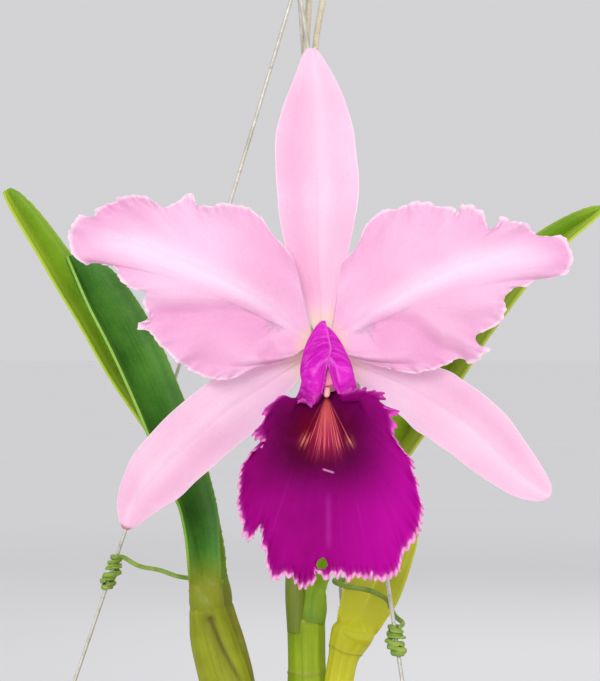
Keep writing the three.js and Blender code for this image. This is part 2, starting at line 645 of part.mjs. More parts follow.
// ---------------------------------------------------------------- flower stalk and its sheath
const STALK = [[-1, 1.2, 179], [-1.7, 0.4, 190], [-0.6, -0.6, 208], [3, -1.6, 228], [6.8, -4.5, 244],
  [8.6, -14, 259], [8, -29, 268.5], [7.2, -43, 270.6], [7, -50, 270]];
const stalkRadius = through([[0, 1.8], [0.55, 1.9], [0.7, 2.4], [0.9, 3], [1, 3.6]]);
const FLOWER_SEAT = 1.8; // the disc on the stalk's end lies this far behind the flower's centre
const SEAT_RADIUS = 5;

function flowerStalk() {
  const steps = 16;
  const points = spline(STALK).getPoints(steps);
  const disc = [FLOWER_SEAT + 1.6, FLOWER_SEAT].map((back) => FLOWER.clone().addScaledVector(FRONT, -back));
  const along = (t) => (t * (steps + disc.length)) / steps; // past 1 on the disc
  return rod([...points, ...disc], (t) => (along(t) > 1.01 ? SEAT_RADIUS : stalkRadius(along(t))), 8);
}
piece('flower_stalk', flowerStalk(), '#a9bf62', 0.5);

// The flattened green sheath that the stalk grows out of, open at both ends.
const SHEATH = [[-1, 1.2, 179], [-1.7, 0.4, 190], [-0.8, -0.4, 204], [0.6, -1, 216]];
function floralSheath() {
  const steps = 5;
  const wall = 0.7;
  const outside = through([[0, 3], [0.3, 3.4], [0.8, 3.3], [1, 2.9]]);
  const shell = asManifold(rodAlong(SHEATH, steps, outside, 8, 1.15));
  const room = asManifold(rodAlong(lengthened(SHEATH, 1), steps, (t) => outside(t) - wall, 8, 1.15));
  return fromManifold(shell.subtract(room));
}
piece('floral_sheath', floralSheath(), '#a9b45c', 0.6);

// ---------------------------------------------------------------- wire hanger
// Where a wire stands on the pot's rim, `out` from its face, at a height and an azimuth.
function atRim(azimuth, out, height) {
  const reach = POT_RIM_RADIUS + out;
  return new THREE.Vector3(reach * Math.cos(azimuth * DEGREE), reach * Math.sin(azimuth * DEGREE), height);
}

const RIM_CLEAR = WIRE_RADIUS + GAP + 0.2; // from the rim's face to the middle of a wire
const wireFoot = (azimuth) => atRim(azimuth, RIM_CLEAR, POT_HEIGHT + 1);

// A point of a wire's free span, from 0 at the crown to 1 at the rim.
function onWire(place, share) {
  const bow = WIRE_BOW[place] * Math.sin(Math.PI * share);
  return CROWN.clone().lerp(wireFoot(WIRE_AZIMUTHS[place]), share).add(new THREE.Vector3(bow, 0, 0));
}

// A wire runs from the collar to the rim, down over the band and hooks in under it.
function hangerWire(place, swell = 0) {
  const azimuth = WIRE_AZIMUTHS[place];
  const clear = WIRE_RADIUS + GAP;
  const low = BAND_BOTTOM - clear;
  const rim = wireFoot(azimuth);
  const span = [0.012, 0.2, 0.4, 0.6, 0.8].map((share) => onWire(place, share));
  const points = [...span, rim,
    atRim(azimuth, RIM_CLEAR, POT_HEIGHT - 3), atRim(azimuth, RIM_CLEAR, BAND_BOTTOM + 3),
    atRim(azimuth, clear, BAND_BOTTOM + 0.6), atRim(azimuth, clear - 0.8, low + 0.2),
    atRim(azimuth, -1.2, low), atRim(azimuth, clear - POT_BAND_STEP + 0.8, low)];
  return rod(points, WIRE_RADIUS + swell, 6);
}
for (const place of Object.keys(WIRE_AZIMUTHS)) {
  piece(`hanger_wire_${place}`, hangerWire(place), '#c3bfae', 0.4, 0.6);
}

// Points wound round a hanger wire, from one height to another.
function windings(place, from, to, turns) {
  const footHeight = POT_HEIGHT + 1;
  const perTurn = 6;
  const reach = WIRE_RADIUS + GAP + TIE_RADIUS + 0.15;
  return Array.from({ length: turns * perTurn + 1 }, (_, i) => {
    const height = from + ((to - from) * i) / (turns * perTurn);
    const angle = (2 * Math.PI * i) / perTurn;
    const centre = onWire(place, (CROWN.z - height) / (CROWN.z - footHeight));
    return [centre.x + reach * Math.cos(angle), centre.y + reach * Math.sin(angle), height];
  });
}

// Twist ties: the left one hooks round the back of a leaf's foot, and the right one goes all round
// the young leaf.
const TIES = {
  left: [...windings('left', 186, 197, 3), [-61, 7, 197], [-55.6, 2.5, 194.5], [-48, -3.5, 193.6],
    [-41.5, -8.6, 192], [-37.5, -7.8, 191.3], [-33, -7.2, 190.9], [-29, -8, 190.6], [-26.4, -11, 190.4]],
  right: [[34, -9.5, 185.4], [36.6, -4, 185.8], [27, 0.9, 187.6], [19, 0.6, 188.6], [12.3, -2.5, 189.6],
    [13, -7.6, 189.4], [19, -7.8, 188.3], [25, -8.4, 187.6], [28.3, -14, 186], [29.5, -32, 184.5],
    [31, -50, 183], [32.8, -60, 182], ...windings('front', 181.5, 173.5, 3)],
};
const TIE_STEPS = 1.2; // rings for each point of a tie's path
for (const [side, path] of Object.entries(TIES)) {
  const tie = rodAlong(path, Math.round(TIE_STEPS * path.length), TIE_RADIUS, 5);
  piece(`twist_tie_${side}`, tie, '#7ba043', 0.6);
}

// The hook above the collar: a straight neck and three quarters of a circle, in the X-Z plane.
const HOOK_SEAT = CROWN.z + 5; // the neck's foot, inside the collar
function hook() {
  const start = 200; // the bend's first angle, where it leaves the neck, in degrees from +X
  const end = -60;
  const neckTop = CROWN.z + COLLAR_LENGTH / 2 + HOOK_NECK;
  const onBend = (angle) => new THREE.Vector3(HOOK_BEND, 0, 0).applyAxisAngle(FRONT, angle * DEGREE);
  const middle = vec([CROWN.x, CROWN.y, neckTop]).sub(onBend(start));
  const points = [vec([CROWN.x, CROWN.y, HOOK_SEAT]), vec([CROWN.x, CROWN.y, neckTop - 3])];
  for (let angle = start; angle >= end; angle -= 20) {
    points.push(onBend(angle).add(middle));
  }
  return rod(points, HOOK_WIRE_RADIUS, 8);
}
piece('hanger_hook', hook(), '#b9b6aa', 0.35, 0.7);

// The collar that gathers the wires from below and the hook's neck from above.
function collar() {
  const top = CROWN.z + COLLAR_LENGTH / 2;
  let solid = upright(COLLAR_RADIUS, 16, CROWN.x, CROWN.y, top - COLLAR_LENGTH, top);
  for (const place of Object.keys(WIRE_AZIMUTHS)) {
    solid = solid.subtract(asManifold(hangerWire(place, GAP)));
  }
  const socket = upright(HOOK_WIRE_RADIUS + GAP, 8, CROWN.x, CROWN.y, HOOK_SEAT - GAP, top + COLLAR_LENGTH);
  return fromManifold(solid.subtract(socket));
}
piece('hanger_collar', collar(), '#b0ada2', 0.4, 0.7);

export default orchid;
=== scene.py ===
import json
import math

import bpy
import numpy as np
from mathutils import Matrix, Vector

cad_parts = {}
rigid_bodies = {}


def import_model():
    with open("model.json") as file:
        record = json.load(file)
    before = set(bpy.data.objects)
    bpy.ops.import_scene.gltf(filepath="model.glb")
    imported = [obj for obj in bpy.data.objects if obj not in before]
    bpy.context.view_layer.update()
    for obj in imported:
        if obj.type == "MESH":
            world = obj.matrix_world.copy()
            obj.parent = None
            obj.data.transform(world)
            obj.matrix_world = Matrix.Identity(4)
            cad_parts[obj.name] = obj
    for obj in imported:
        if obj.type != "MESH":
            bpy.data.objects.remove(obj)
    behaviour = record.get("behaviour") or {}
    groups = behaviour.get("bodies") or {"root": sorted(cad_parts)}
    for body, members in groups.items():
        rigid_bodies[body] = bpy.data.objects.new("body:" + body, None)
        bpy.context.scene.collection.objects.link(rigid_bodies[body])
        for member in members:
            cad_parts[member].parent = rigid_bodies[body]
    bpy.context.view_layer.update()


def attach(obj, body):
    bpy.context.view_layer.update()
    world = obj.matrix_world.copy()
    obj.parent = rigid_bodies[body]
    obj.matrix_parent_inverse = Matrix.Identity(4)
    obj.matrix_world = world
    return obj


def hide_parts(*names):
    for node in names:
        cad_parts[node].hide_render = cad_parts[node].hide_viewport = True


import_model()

# ---- driving dimensions, in millimetres
MM = 0.001

POT_HEIGHT = 110
POT_FOOT_RADIUS = 63
POT_RIM_RADIUS = 93
POT_BAND_HEIGHT = 25
POT_BAND_STEP = 5.5
POT_WALL = 6.5
POT_FLOOR = 9
DRAIN_HOLES = 3
DRAIN_RADIUS = 6
DRAIN_CIRCLE = 34

MEDIUM_TOP = 95
BARK_CHIPS = 210
BARK_SEED = 7
CHIP_CLEAR = 5.2  # from a chip to the middle line of a root, rhizome or stake; nearer, and the chip sinks
CHIP_SINK = 6.5
SUNK_CHIP_CLEAR = 5

FLOWER = np.array([7.0, -54.0, 270.0])  # where sepals, petals, lip and column meet
PETAL_THICK = 1.0
PETAL_EDGE = 0.35
SEPAL_THICK = 1.3
LEAF_THICK = 1.8
LEAF_EDGE = 0.8

WIRE_RADIUS = 0.65
CROWN = np.array([-0.8, 0.0, 396.5])  # where the three wires meet
WIRE_AZIMUTHS = {"left": 172, "front": -65, "back": 78}  # degrees from +X
WIRE_BOW = {"left": 2.2, "front": 0, "back": 0.6}  # how far each bows to the right halfway down
COLLAR_RADIUS = 4
COLLAR_LENGTH = 13
HOOK_WIRE_RADIUS = 1.5
HOOK_BEND = 12
HOOK_NECK = 12
STAKE_RADIUS = 1.1
TIE_RADIUS = 0.8
GAP = 0.3  # clearance worked into the bulbs' seats, the bark's edge, the wires and the ties

UP = np.array([0.0, 0.0, 1.0])
FRONT = np.array([0.0, -1.0, 0.0])


# ---- curves and numbers
def smooth(t):
    """Rises from 0 to 1 as t does, level at both ends."""
    c = np.clip(t, 0, 1)
    return c * c * (3 - 2 * c)


def bell(x, width):
    """1 where x is 0, falling to nearly 0 at twice the width on both sides."""
    return np.exp(-((x / width) ** 2))


def side_angles(sides):
    """The angle of each side of a ring, in radians."""
    return 2 * math.pi * np.arange(sides) / sides


def wrapped(angle):
    """The same angle, within half a turn of 0."""
    return np.angle(np.exp(1j * angle))


def seed_of(name):
    return sum(ord(letter) for letter in name)


def unit(v):
    return v / np.maximum(np.linalg.norm(v, axis=-1, keepdims=True), 1e-12)


def through(stations):
    """A smooth function of one number through [place, value] stations, level where it turns."""
    places, values = np.array(stations, float).T
    slopes = np.diff(values) / np.diff(places)
    before, after = slopes[:-1], slopes[1:]
    same = before * after > 0
    inner = np.where(same, 2 * before * after / np.where(same, before + after, 1), 0)
    ends = np.concatenate([slopes[:1], inner, slopes[-1:]])

    def value(x):
        x = np.clip(x, places[0], places[-1])
        i = np.clip(np.searchsorted(places, x, side="right") - 1, 0, len(places) - 2)
        width = places[i + 1] - places[i]
        t = (x - places[i]) / width
        rise = (values[i + 1] - values[i]) * t * t * (3 - 2 * t)
        return values[i] + rise + ends[i] * width * t * (1 - t) ** 2 + ends[i + 1] * width * t * t * (t - 1)

    return value


def curve(points, places):
    """Points of a centripetal Catmull-Rom curve at places 0..1. Each point may itself be a row of points."""
    p = np.asarray(points, float)
    p = np.concatenate([[2 * p[0] - p[1]], p, [2 * p[-1] - p[-2]]])
    s = np.clip(places, 0, 1) * (len(points) - 1)
    i = np.minimum(s.astype(int), len(points) - 2)
    w = (s - i).reshape([-1] + [1] * (p.ndim - 1))
    x0, x1, x2, x3 = p[i], p[i + 1], p[i + 2], p[i + 3]
    spans = ((x0, x1), (x1, x2), (x2, x3))
    d0, d1, d2 = (np.sqrt(np.linalg.norm(b - a, axis=-1, keepdims=True)) for a, b in spans)
    start = ((x1 - x0) / d0 - (x2 - x0) / (d0 + d1) + (x2 - x1) / d1) * d1
    end = ((x2 - x1) / d1 - (x3 - x1) / (d1 + d2) + (x3 - x2) / d2) * d1
    return x1 + start * w + (3 * (x2 - x1) - 2 * start - end) * w**2 + (2 * (x1 - x2) + start + end) * w**3


def heading(points, places):
    """The direction of that curve."""
    step = 1e-4
    return unit(curve(points, np.minimum(places + step, 1)) - curve(points, np.maximum(places - step, 0)))


def wobble(x, seed, lowest, highest, count=8):
    """A smooth random number line of about -1..1: a sum of waves of lowest..highest turns per unit of x."""
    random = np.random.default_rng(seed)
    turns = random.uniform(lowest, highest, count)
    phases = random.uniform(0, 2 * math.pi, count)
    waves = [np.sin(2 * math.pi * turn * x + phase) for turn, phase in zip(turns, phases)]
    return sum(waves) / math.sqrt(count)


def rough(points, seed, size, count=10):
    """A smooth random value of about -1..1 at each point, with lumps of about size millimetres."""
    random = np.random.default_rng(seed)
    ways = unit(random.normal(size=(count, 3))) / (size * random.uniform(0.6, 1.6, (count, 1)))
    phases = random.uniform(0, 2 * math.pi, count)
    return np.sin(2 * math.pi * (np.asarray(points) @ ways.T) + phases).sum(axis=-1) / math.sqrt(count)


def evened(line, spread):
    """The same line of points with its short bends averaged away, its ends kept."""
    reach = int(3 * spread)
    weights = np.exp(-0.5 * (np.arange(-reach, reach + 1) / spread) ** 2)
    weights /= weights.sum()
    padded = np.concatenate([2 * line[0] - line[reach:0:-1], line, 2 * line[-1] - line[-2:-reach - 2:-1]])
    return np.stack([np.convolve(padded[:, k], weights, "valid") for k in range(line.shape[1])], axis=1)


def evenly(line, count):
    """Places 0..1 on a curve that stand at equal steps along its length."""
    dense = np.linspace(0, 1, 40 * len(line))
    steps = np.linalg.norm(np.diff(curve(line, dense), axis=0), axis=1)
    length = np.concatenate([[0], np.cumsum(steps)])
    return np.interp(np.linspace(0, length[-1], count), length, dense)


def share_along(line):
    """How far along its length each point of a line stands, 0..1."""
    length = np.concatenate([[0], np.cumsum(np.linalg.norm(np.diff(line, axis=0), axis=1))])
    return length / length[-1]


def settled(line, stations, nearness, loose=1.0):
    """Rows of the same line whose short bends fade away from it. Stations are [nearness, spread]."""
    layers = [line + (evened(line, spread) - line) * loose if spread else line for _, spread in stations]
    layers = np.array(layers)
    place = np.interp(nearness, [station[0] for station in stations], range(len(stations)))
    i = np.minimum(place.astype(int), len(stations) - 2)
    share = (place - i).reshape(-1, 1, 1)
    return layers[i] * (1 - share) + layers[i + 1] * share


def relaxed(grid, rounds):
    """The same grid of points with its columns, and less so its rows, eased apart where they crowd."""
    grid = grid.copy()
    for _ in range(rounds):
        beyond = (grid[2:, 1:-1] + grid[:-2, 1:-1]) / 2
        aside = (grid[1:-1, 2:] + grid[1:-1, :-2]) / 2
        grid[1:-1, 1:-1] += 0.8 * (0.25 * beyond + 0.75 * aside - grid[1:-1, 1:-1])
    return grid


def beside(x, z, line):
    """Distances from a line in the X-Z plane, positive on its right from the front, and places on it."""
    line = np.array(line, float)
    best = np.full(x.shape, np.inf)
    signed = np.zeros(x.shape)
    place = np.zeros(x.shape)
    for i, (a, b) in enumerate(zip(line[:-1], line[1:])):
        way = b - a
        share = np.clip(((x - a[0]) * way[0] + (z - a[1]) * way[1]) / (way @ way), 0, 1)
        dx, dz = x - a[0] - share * way[0], z - a[1] - share * way[1]
        gap = np.hypot(dx, dz)
        side = np.sign(way[1] * dx - way[0] * dz)
        nearer = gap < best
        best = np.where(nearer, gap, best)
        signed = np.where(nearer, side * gap, signed)
        place = np.where(nearer, (i + share) / (len(line) - 1), place)
    return signed, place


# ---- shapes
class Shape:
    """Points, faces and the numbers at each point that its material reads."""

    def __init__(self, points, quads, triangles=(), **marks):
        self.points = np.asarray(points, float).reshape(-1, 3)
        self.quads = np.asarray(quads, int).reshape(-1, 4)
        self.triangles = np.asarray(triangles, int).reshape(-1, 3)
        count = len(self.points)
        self.marks = {name: np.broadcast_to(np.asarray(m, float).ravel(), count) for name, m in marks.items()}
        if self.volume() < 0:
            self.quads, self.triangles = self.quads[:, ::-1], self.triangles[:, ::-1]

    def volume(self):
        fans = np.concatenate([self.quads[:, [0, 1, 2]], self.quads[:, [0, 2, 3]], self.triangles])
        a, b, c = (self.points[fans[:, k]] for k in range(3))
        return (a * np.cross(b, c)).sum()

    def __add__(self, other):
        both = Shape.__new__(Shape)
        count = len(self.points)
        both.points = np.concatenate([self.points, other.points])
        both.quads = np.concatenate([self.quads, other.quads + count])
        both.triangles = np.concatenate([self.triangles, other.triangles + count])
        both.marks = {name: np.concatenate([m, other.marks[name]]) for name, m in self.marks.items()}
        return both


def joined(shapes):
    total = shapes[0]
    for shape in shapes[1:]:
        total = total + shape
    return total


def cells(grid):
    """The four corners of each cell of a grid, in order round it."""
    return np.stack([grid[:-1, :-1], grid[1:, :-1], grid[1:, 1:], grid[:-1, 1:]], axis=-1)


def blade(grid, thickness, dropped=None, **marks):
    """A closed blade round a grid of mid-surface points, walled round its edge and round dropped cells."""
    rows, columns, _ = grid.shape
    normal = unit(np.cross(np.gradient(grid, axis=0), np.gradient(grid, axis=1)))
    half = normal * (np.broadcast_to(thickness, (rows, columns)) / 2)[..., None]
    count = rows * columns
    front = cells(np.arange(count).reshape(rows, columns))
    front = front.reshape(-1, 4) if dropped is None else front[~dropped]
    starts, ends = front.ravel(), np.roll(front, -1, axis=1).ravel()
    open_edges = ~np.isin(starts * count + ends, ends * count + starts)
    a, b = starts[open_edges], ends[open_edges]
    walls = np.stack([b, a, a + count, b + count], axis=-1)
    quads = np.concatenate([front, front[:, ::-1] + count, walls])
    used, quads = np.unique(quads, return_inverse=True)
    points = np.concatenate([(grid + half).reshape(-1, 3), (grid - half).reshape(-1, 3)])[used]
    both = {name: np.tile(np.broadcast_to(m, (rows, columns)).ravel(), 2)[used] for name, m in marks.items()}
    both["face"] = (used >= count).astype(float)
    return Shape(points, quads.reshape(-1, 4), **both)


def skin(rings, capped=True, **marks):
    """A solid over closed rings of points (rows, sides, 3), capped at both ends or joined end to end."""
    rows, sides, _ = rings.shape
    index = np.arange(rows * sides).reshape(rows, sides)
    if not capped:
        index = np.concatenate([index, index[:1]])
    turned = np.roll(index, -1, axis=1)
    quads = np.stack([index[:-1], turned[:-1], turned[1:], index[1:]], axis=-1).reshape(-1, 4)
    along = np.repeat(np.linspace(0, 1, rows), sides)
    around = np.tile(np.arange(sides) / sides, rows)
    points, triangles = rings.reshape(-1, 3), []
    marks = {name: np.broadcast_to(m, (rows, sides)).ravel() for name, m in marks.items()}
    marks = {"along": along, "around": around, **marks}
    if capped:
        first, last = rows * sides, rows * sides + 1
        ends = np.stack([rings[0].mean(axis=0), rings[-1].mean(axis=0)])
        points = np.concatenate([points, ends])
        marks = {name: np.append(m, [m[0], m[-1]]) for name, m in marks.items()}
        foot = [[first, index[0, (j + 1) % sides], index[0, j]] for j in range(sides)]
        top = [[last, index[-1, j], index[-1, (j + 1) % sides]] for j in range(sides)]
        triangles = foot + top
    return Shape(points, quads, triangles, **marks)


def frames(points):
    """Two directions across a line at each of its points, carried along it without twist."""
    tangents = np.empty_like(points)
    tangents[1:-1] = points[2:] - points[:-2]
    tangents[0], tangents[-1] = points[1] - points[0], points[-1] - points[-2]
    tangents = unit(tangents)
    depth = UP if abs(tangents[0] @ FRONT) > 0.9 else FRONT
    depths = []
    for tangent in tangents:
        depth = unit(depth - tangent * (depth @ tangent))
        depths.append(depth)
    depths = np.array(depths)
    return np.cross(tangents, depths), depths


def rings_round(points, radius, sides, flatten):
    """Rings round a line. radius is a number, or one for each point, or one for each point and side."""
    side, depth = frames(points)
    angle = side_angles(sides)
    radius = np.asarray(radius, float)
    reach = np.broadcast_to(radius.reshape(-1, 1) if radius.ndim < 2 else radius, (len(points), sides))
    rings = points[:, None] + side[:, None] * (reach * np.cos(angle))[..., None]
    return rings + depth[:, None] * (reach * flatten * np.sin(angle))[..., None]


def tube(points, radius, sides=12, flatten=1.0, **marks):
    """A round or oval tube."""
    return skin(rings_round(points, radius, sides, flatten), **marks)


def tube_along(path, steps, radius, sides=12, flatten=1.0):
    places = np.linspace(0, 1, steps)
    size = radius(places) if callable(radius) else radius
    return tube(curve(path, places), size, sides, flatten)


def lathe(profile, sides):
    """A solid of revolution about Z from [radius, height] points that start and end on the axis."""
    angle = side_angles(sides)
    inner = np.array(profile, float)[1:-1]
    x, y = np.outer(inner[:, 0], np.cos(angle)), np.outer(inner[:, 0], np.sin(angle))
    rings = np.stack([x, y, np.broadcast_to(inner[:, 1:], x.shape)], axis=-1)
    return skin(rings)


def add_mesh(name, shape):
    mesh = bpy.data.meshes.new(name)
    mesh.vertices.add(len(shape.points))
    mesh.vertices.foreach_set("co", (shape.points * MM).astype(np.float32).ravel())
    corners = np.concatenate([shape.quads.ravel(), shape.triangles.ravel()]).astype(np.int32)
    four, three = len(shape.quads), len(shape.triangles)
    starts = np.concatenate([4 * np.arange(four), 4 * four + 3 * np.arange(three)]).astype(np.int32)
    mesh.loops.add(len(corners))
    mesh.loops.foreach_set("vertex_index", corners)
    mesh.polygons.add(len(starts))
    mesh.polygons.foreach_set("loop_start", starts)
    mesh.update(calc_edges=True)
    mesh.validate()
    for mark, values in shape.marks.items():
        layer = mesh.attributes.new(mark, "FLOAT", "POINT")
        layer.data.foreach_set("value", np.asarray(values, np.float32))
    return mesh


def piece(name, shape, material, slot, *nodes, sharp=50):
    """A finished piece that stands for the named nodes of the CAD. Edges over sharp degrees stay sharp."""
    mesh = add_mesh(name, shape)
    mesh.shade_smooth()
    mesh.set_sharp_from_angle(angle=math.radians(sharp))
    mesh.materials.append(material)
    obj = bpy.data.objects.new(name, mesh)
    bpy.context.scene.collection.objects.link(obj)
    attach(obj, "root")
    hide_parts(*nodes)
    return obj


# ---- materials
def tint(red, green, blue):
    """A colour given as screen values 0..255, in linear light."""
    channels = [c / 255 for c in (red, green, blue)]
    return [c / 12.92 if c <= 0.04045 else ((c + 0.055) / 1.055) ** 2.4 for c in channels] + [1.0]


class Paint:
    """A material built up step by step from nodes: colour laid over colour, and relief on relief."""

    def __init__(self, name):
        self.material = bpy.data.materials.new(name)
        self.material.use_nodes = True
        self.tree = self.material.node_tree
        self.shader = self.tree.nodes["Principled BSDF"]
        self.sources = {}
        self.color = None
        self.relief = None

    def node(self, kind, inputs, output=0, **settings):
        node = self.tree.nodes.new(kind)
        for name, value in settings.items():
            setattr(node, name, value)
        for key, value in inputs.items():
            self.give(node.inputs[key], value)
        return node.outputs[output]

    def give(self, socket, value):
        if isinstance(value, bpy.types.NodeSocket):
            self.tree.links.new(value, socket)
        else:
            socket.default_value = value

    def source(self, kind, output, name=""):
        """One node for each thing that is read, however often it is asked for."""
        if (kind, name) not in self.sources:
            settings = {"attribute_name": name} if name else {}
            self.sources[kind, name] = self.node(kind, {}, output, **settings)
        return self.sources[kind, name]

    def mark(self, name):
        return self.source("ShaderNodeAttribute", "Fac", name)

    def place(self):
        return self.source("ShaderNodeTexCoord", "Object")

    def times(self, a, b):
        return self.node("ShaderNodeMath", {0: a, 1: b}, operation="MULTIPLY")

    def vector(self, operation, a, b, output=0):
        return self.node("ShaderNodeVectorMath", {0: a, 1: b}, output, operation=operation)

    def stretched(self, x, y, z):
        """The place on the object, in millimetres, times a factor on each axis."""
        return self.vector("MULTIPLY", self.place(), (x / MM, y / MM, z / MM))

    def noise(self, scale, detail=3.0, roughness=0.55, vector=None, distortion=0.0):
        """Noise 0..1; without a vector its scale is in lumps per millimetre."""
        if vector is None:
            scale, vector = scale / MM, self.place()
        inputs = {"Scale": scale, "Detail": detail, "Roughness": roughness, "Distortion": distortion,
                  "Vector": vector}
        return self.node("ShaderNodeTexNoise", inputs, "Fac")

    def lines(self, across, count, along, rows, detail=2.0, roughness=0.55, distortion=0.0):
        """Noise drawn out into lines: count lumps per unit of one mark and rows per unit of the other."""
        inputs = {"X": self.times(self.mark(across), count), "Y": self.times(self.mark(along), rows)}
        place = self.node("ShaderNodeCombineXYZ", inputs)
        return self.noise(1.0, detail, roughness, place, distortion)

    def span(self, value, low, high, start=0.0, end=1.0):
        inputs = {"Value": value, "From Min": low, "From Max": high, "To Min": start, "To Max": end}
        return self.node("ShaderNodeMapRange", inputs, interpolation_type="SMOOTHSTEP")

    def mix(self, amount, a, b):
        """One colour passing into another by an amount 0..1. A tuple is a colour of screen values 0..255."""
        a, b = (tint(*color) if isinstance(color, tuple) else color for color in (a, b))
        return self.node("ShaderNodeMix", {0: amount, 6: a, 7: b}, 2, data_type="RGBA")

    def over(self, amount, color):
        """Lays a colour over what is there so far."""
        self.color = self.mix(amount, self.color, color)

    def dash(self, x, z, slope, half_length, half_width):
        """1 on a short straight dash about a place in the X-Z plane, fading to 0 round it."""
        place = self.vector("SUBTRACT", self.stretched(1, 1, 1), (x, 0, z))
        cos, sin = math.cos(slope), math.sin(slope)
        amounts = []
        for way, full, end in (((cos, 0, sin), 0.6, half_length), ((-sin, 0, cos), 0.3, half_width)):
            reach = self.vector("DOT_PRODUCT", place, way, "Value")
            reach = self.node("ShaderNodeMath", {0: reach}, operation="ABSOLUTE")
            amounts.append(self.span(reach, full * end, end, 1.0, 0.0))
        return self.times(*amounts)

    def bump(self, height, strength, depth):
        """Adds relief of a depth in millimetres to what is there so far."""
        inputs = {"Height": height, "Strength": strength, "Distance": depth * MM}
        if self.relief is not None:
            inputs["Normal"] = self.relief
        self.relief = self.node("ShaderNodeBump", inputs)

    def finish(self, roughness, **sockets):
        sockets = {"Base_Color": self.color, "Roughness": roughness, **sockets}
        if self.relief is not None:
            sockets["Normal"] = self.relief
        for name, value in sockets.items():
            self.give(self.shader.inputs[name.replace("_", " ")], value)
        return self.material


def soft_flesh(weight, depth):
    """Socket values for light that goes a little way into petals and leaves."""
    return {"Subsurface_Weight": weight, "Subsurface_Radius": (1.0, 0.6, 0.6), "Subsurface_Scale": depth * MM}


def petal_paint(name, deep, pale):
    """Pink with a pale midvein, fine fanned veins, a pale margin and a cream heart, with painted shade below
    the petals' creases, painted light on the lateral sepals' feet and white specks of painted sparkle.
    """
    p = Paint(name)
    cloud = p.noise(0.035, 2.0)
    p.color = p.mix(p.span(cloud, 0.35, 0.7), deep, pale)
    # Deeper pink, and on the petals painted shade below their creases.
    p.over(p.mark("blush"), (230, 150, 200))
    fan = p.lines("across", 70.0, "along", 1.3)
    vein_depth = p.times(p.span(fan, 0.35, 0.75), p.span(p.mark("along"), 0.05, 0.5, 0.20, 0.09))
    p.over(vein_depth, (226, 156, 206))
    # A pale midvein, and painted light on the lateral sepals' feet.
    p.over(p.times(p.mark("vein"), 0.7), (253, 228, 247))
    edge = p.times(p.span(p.mark("rim"), 0.0, 1.0), 0.6)
    p.over(edge, (255, 232, 243))
    p.over(p.mark("heart"), (253, 238, 200))
    p.over(p.mark("tip"), (190, 104, 112))
    grain = p.noise(2.2, 2.0, 0.7)
    # White specks of painted sparkle.
    p.over(p.span(grain, 0.3, 0.8, 0.0, 0.12), (255, 255, 255))
    p.bump(fan, 0.25, 0.5)
    p.bump(p.noise(0.35, 3.0), 0.3, 0.8)
    p.bump(grain, 0.16, 0.3)
    return p.finish(p.span(grain, 0.2, 0.8, 0.42, 0.62), **soft_flesh(0.25, 2.0),
                    Specular_IOR_Level=0.3, Sheen_Weight=0.04)


# Where a painted highlight of a small wrinkle lies on the front lobe.
LIP_WRINKLE_HIGHLIGHT = (8.6, 232.4, -0.3, 2.1, 0.42)  # where a small pale wrinkle lies on the front lobe


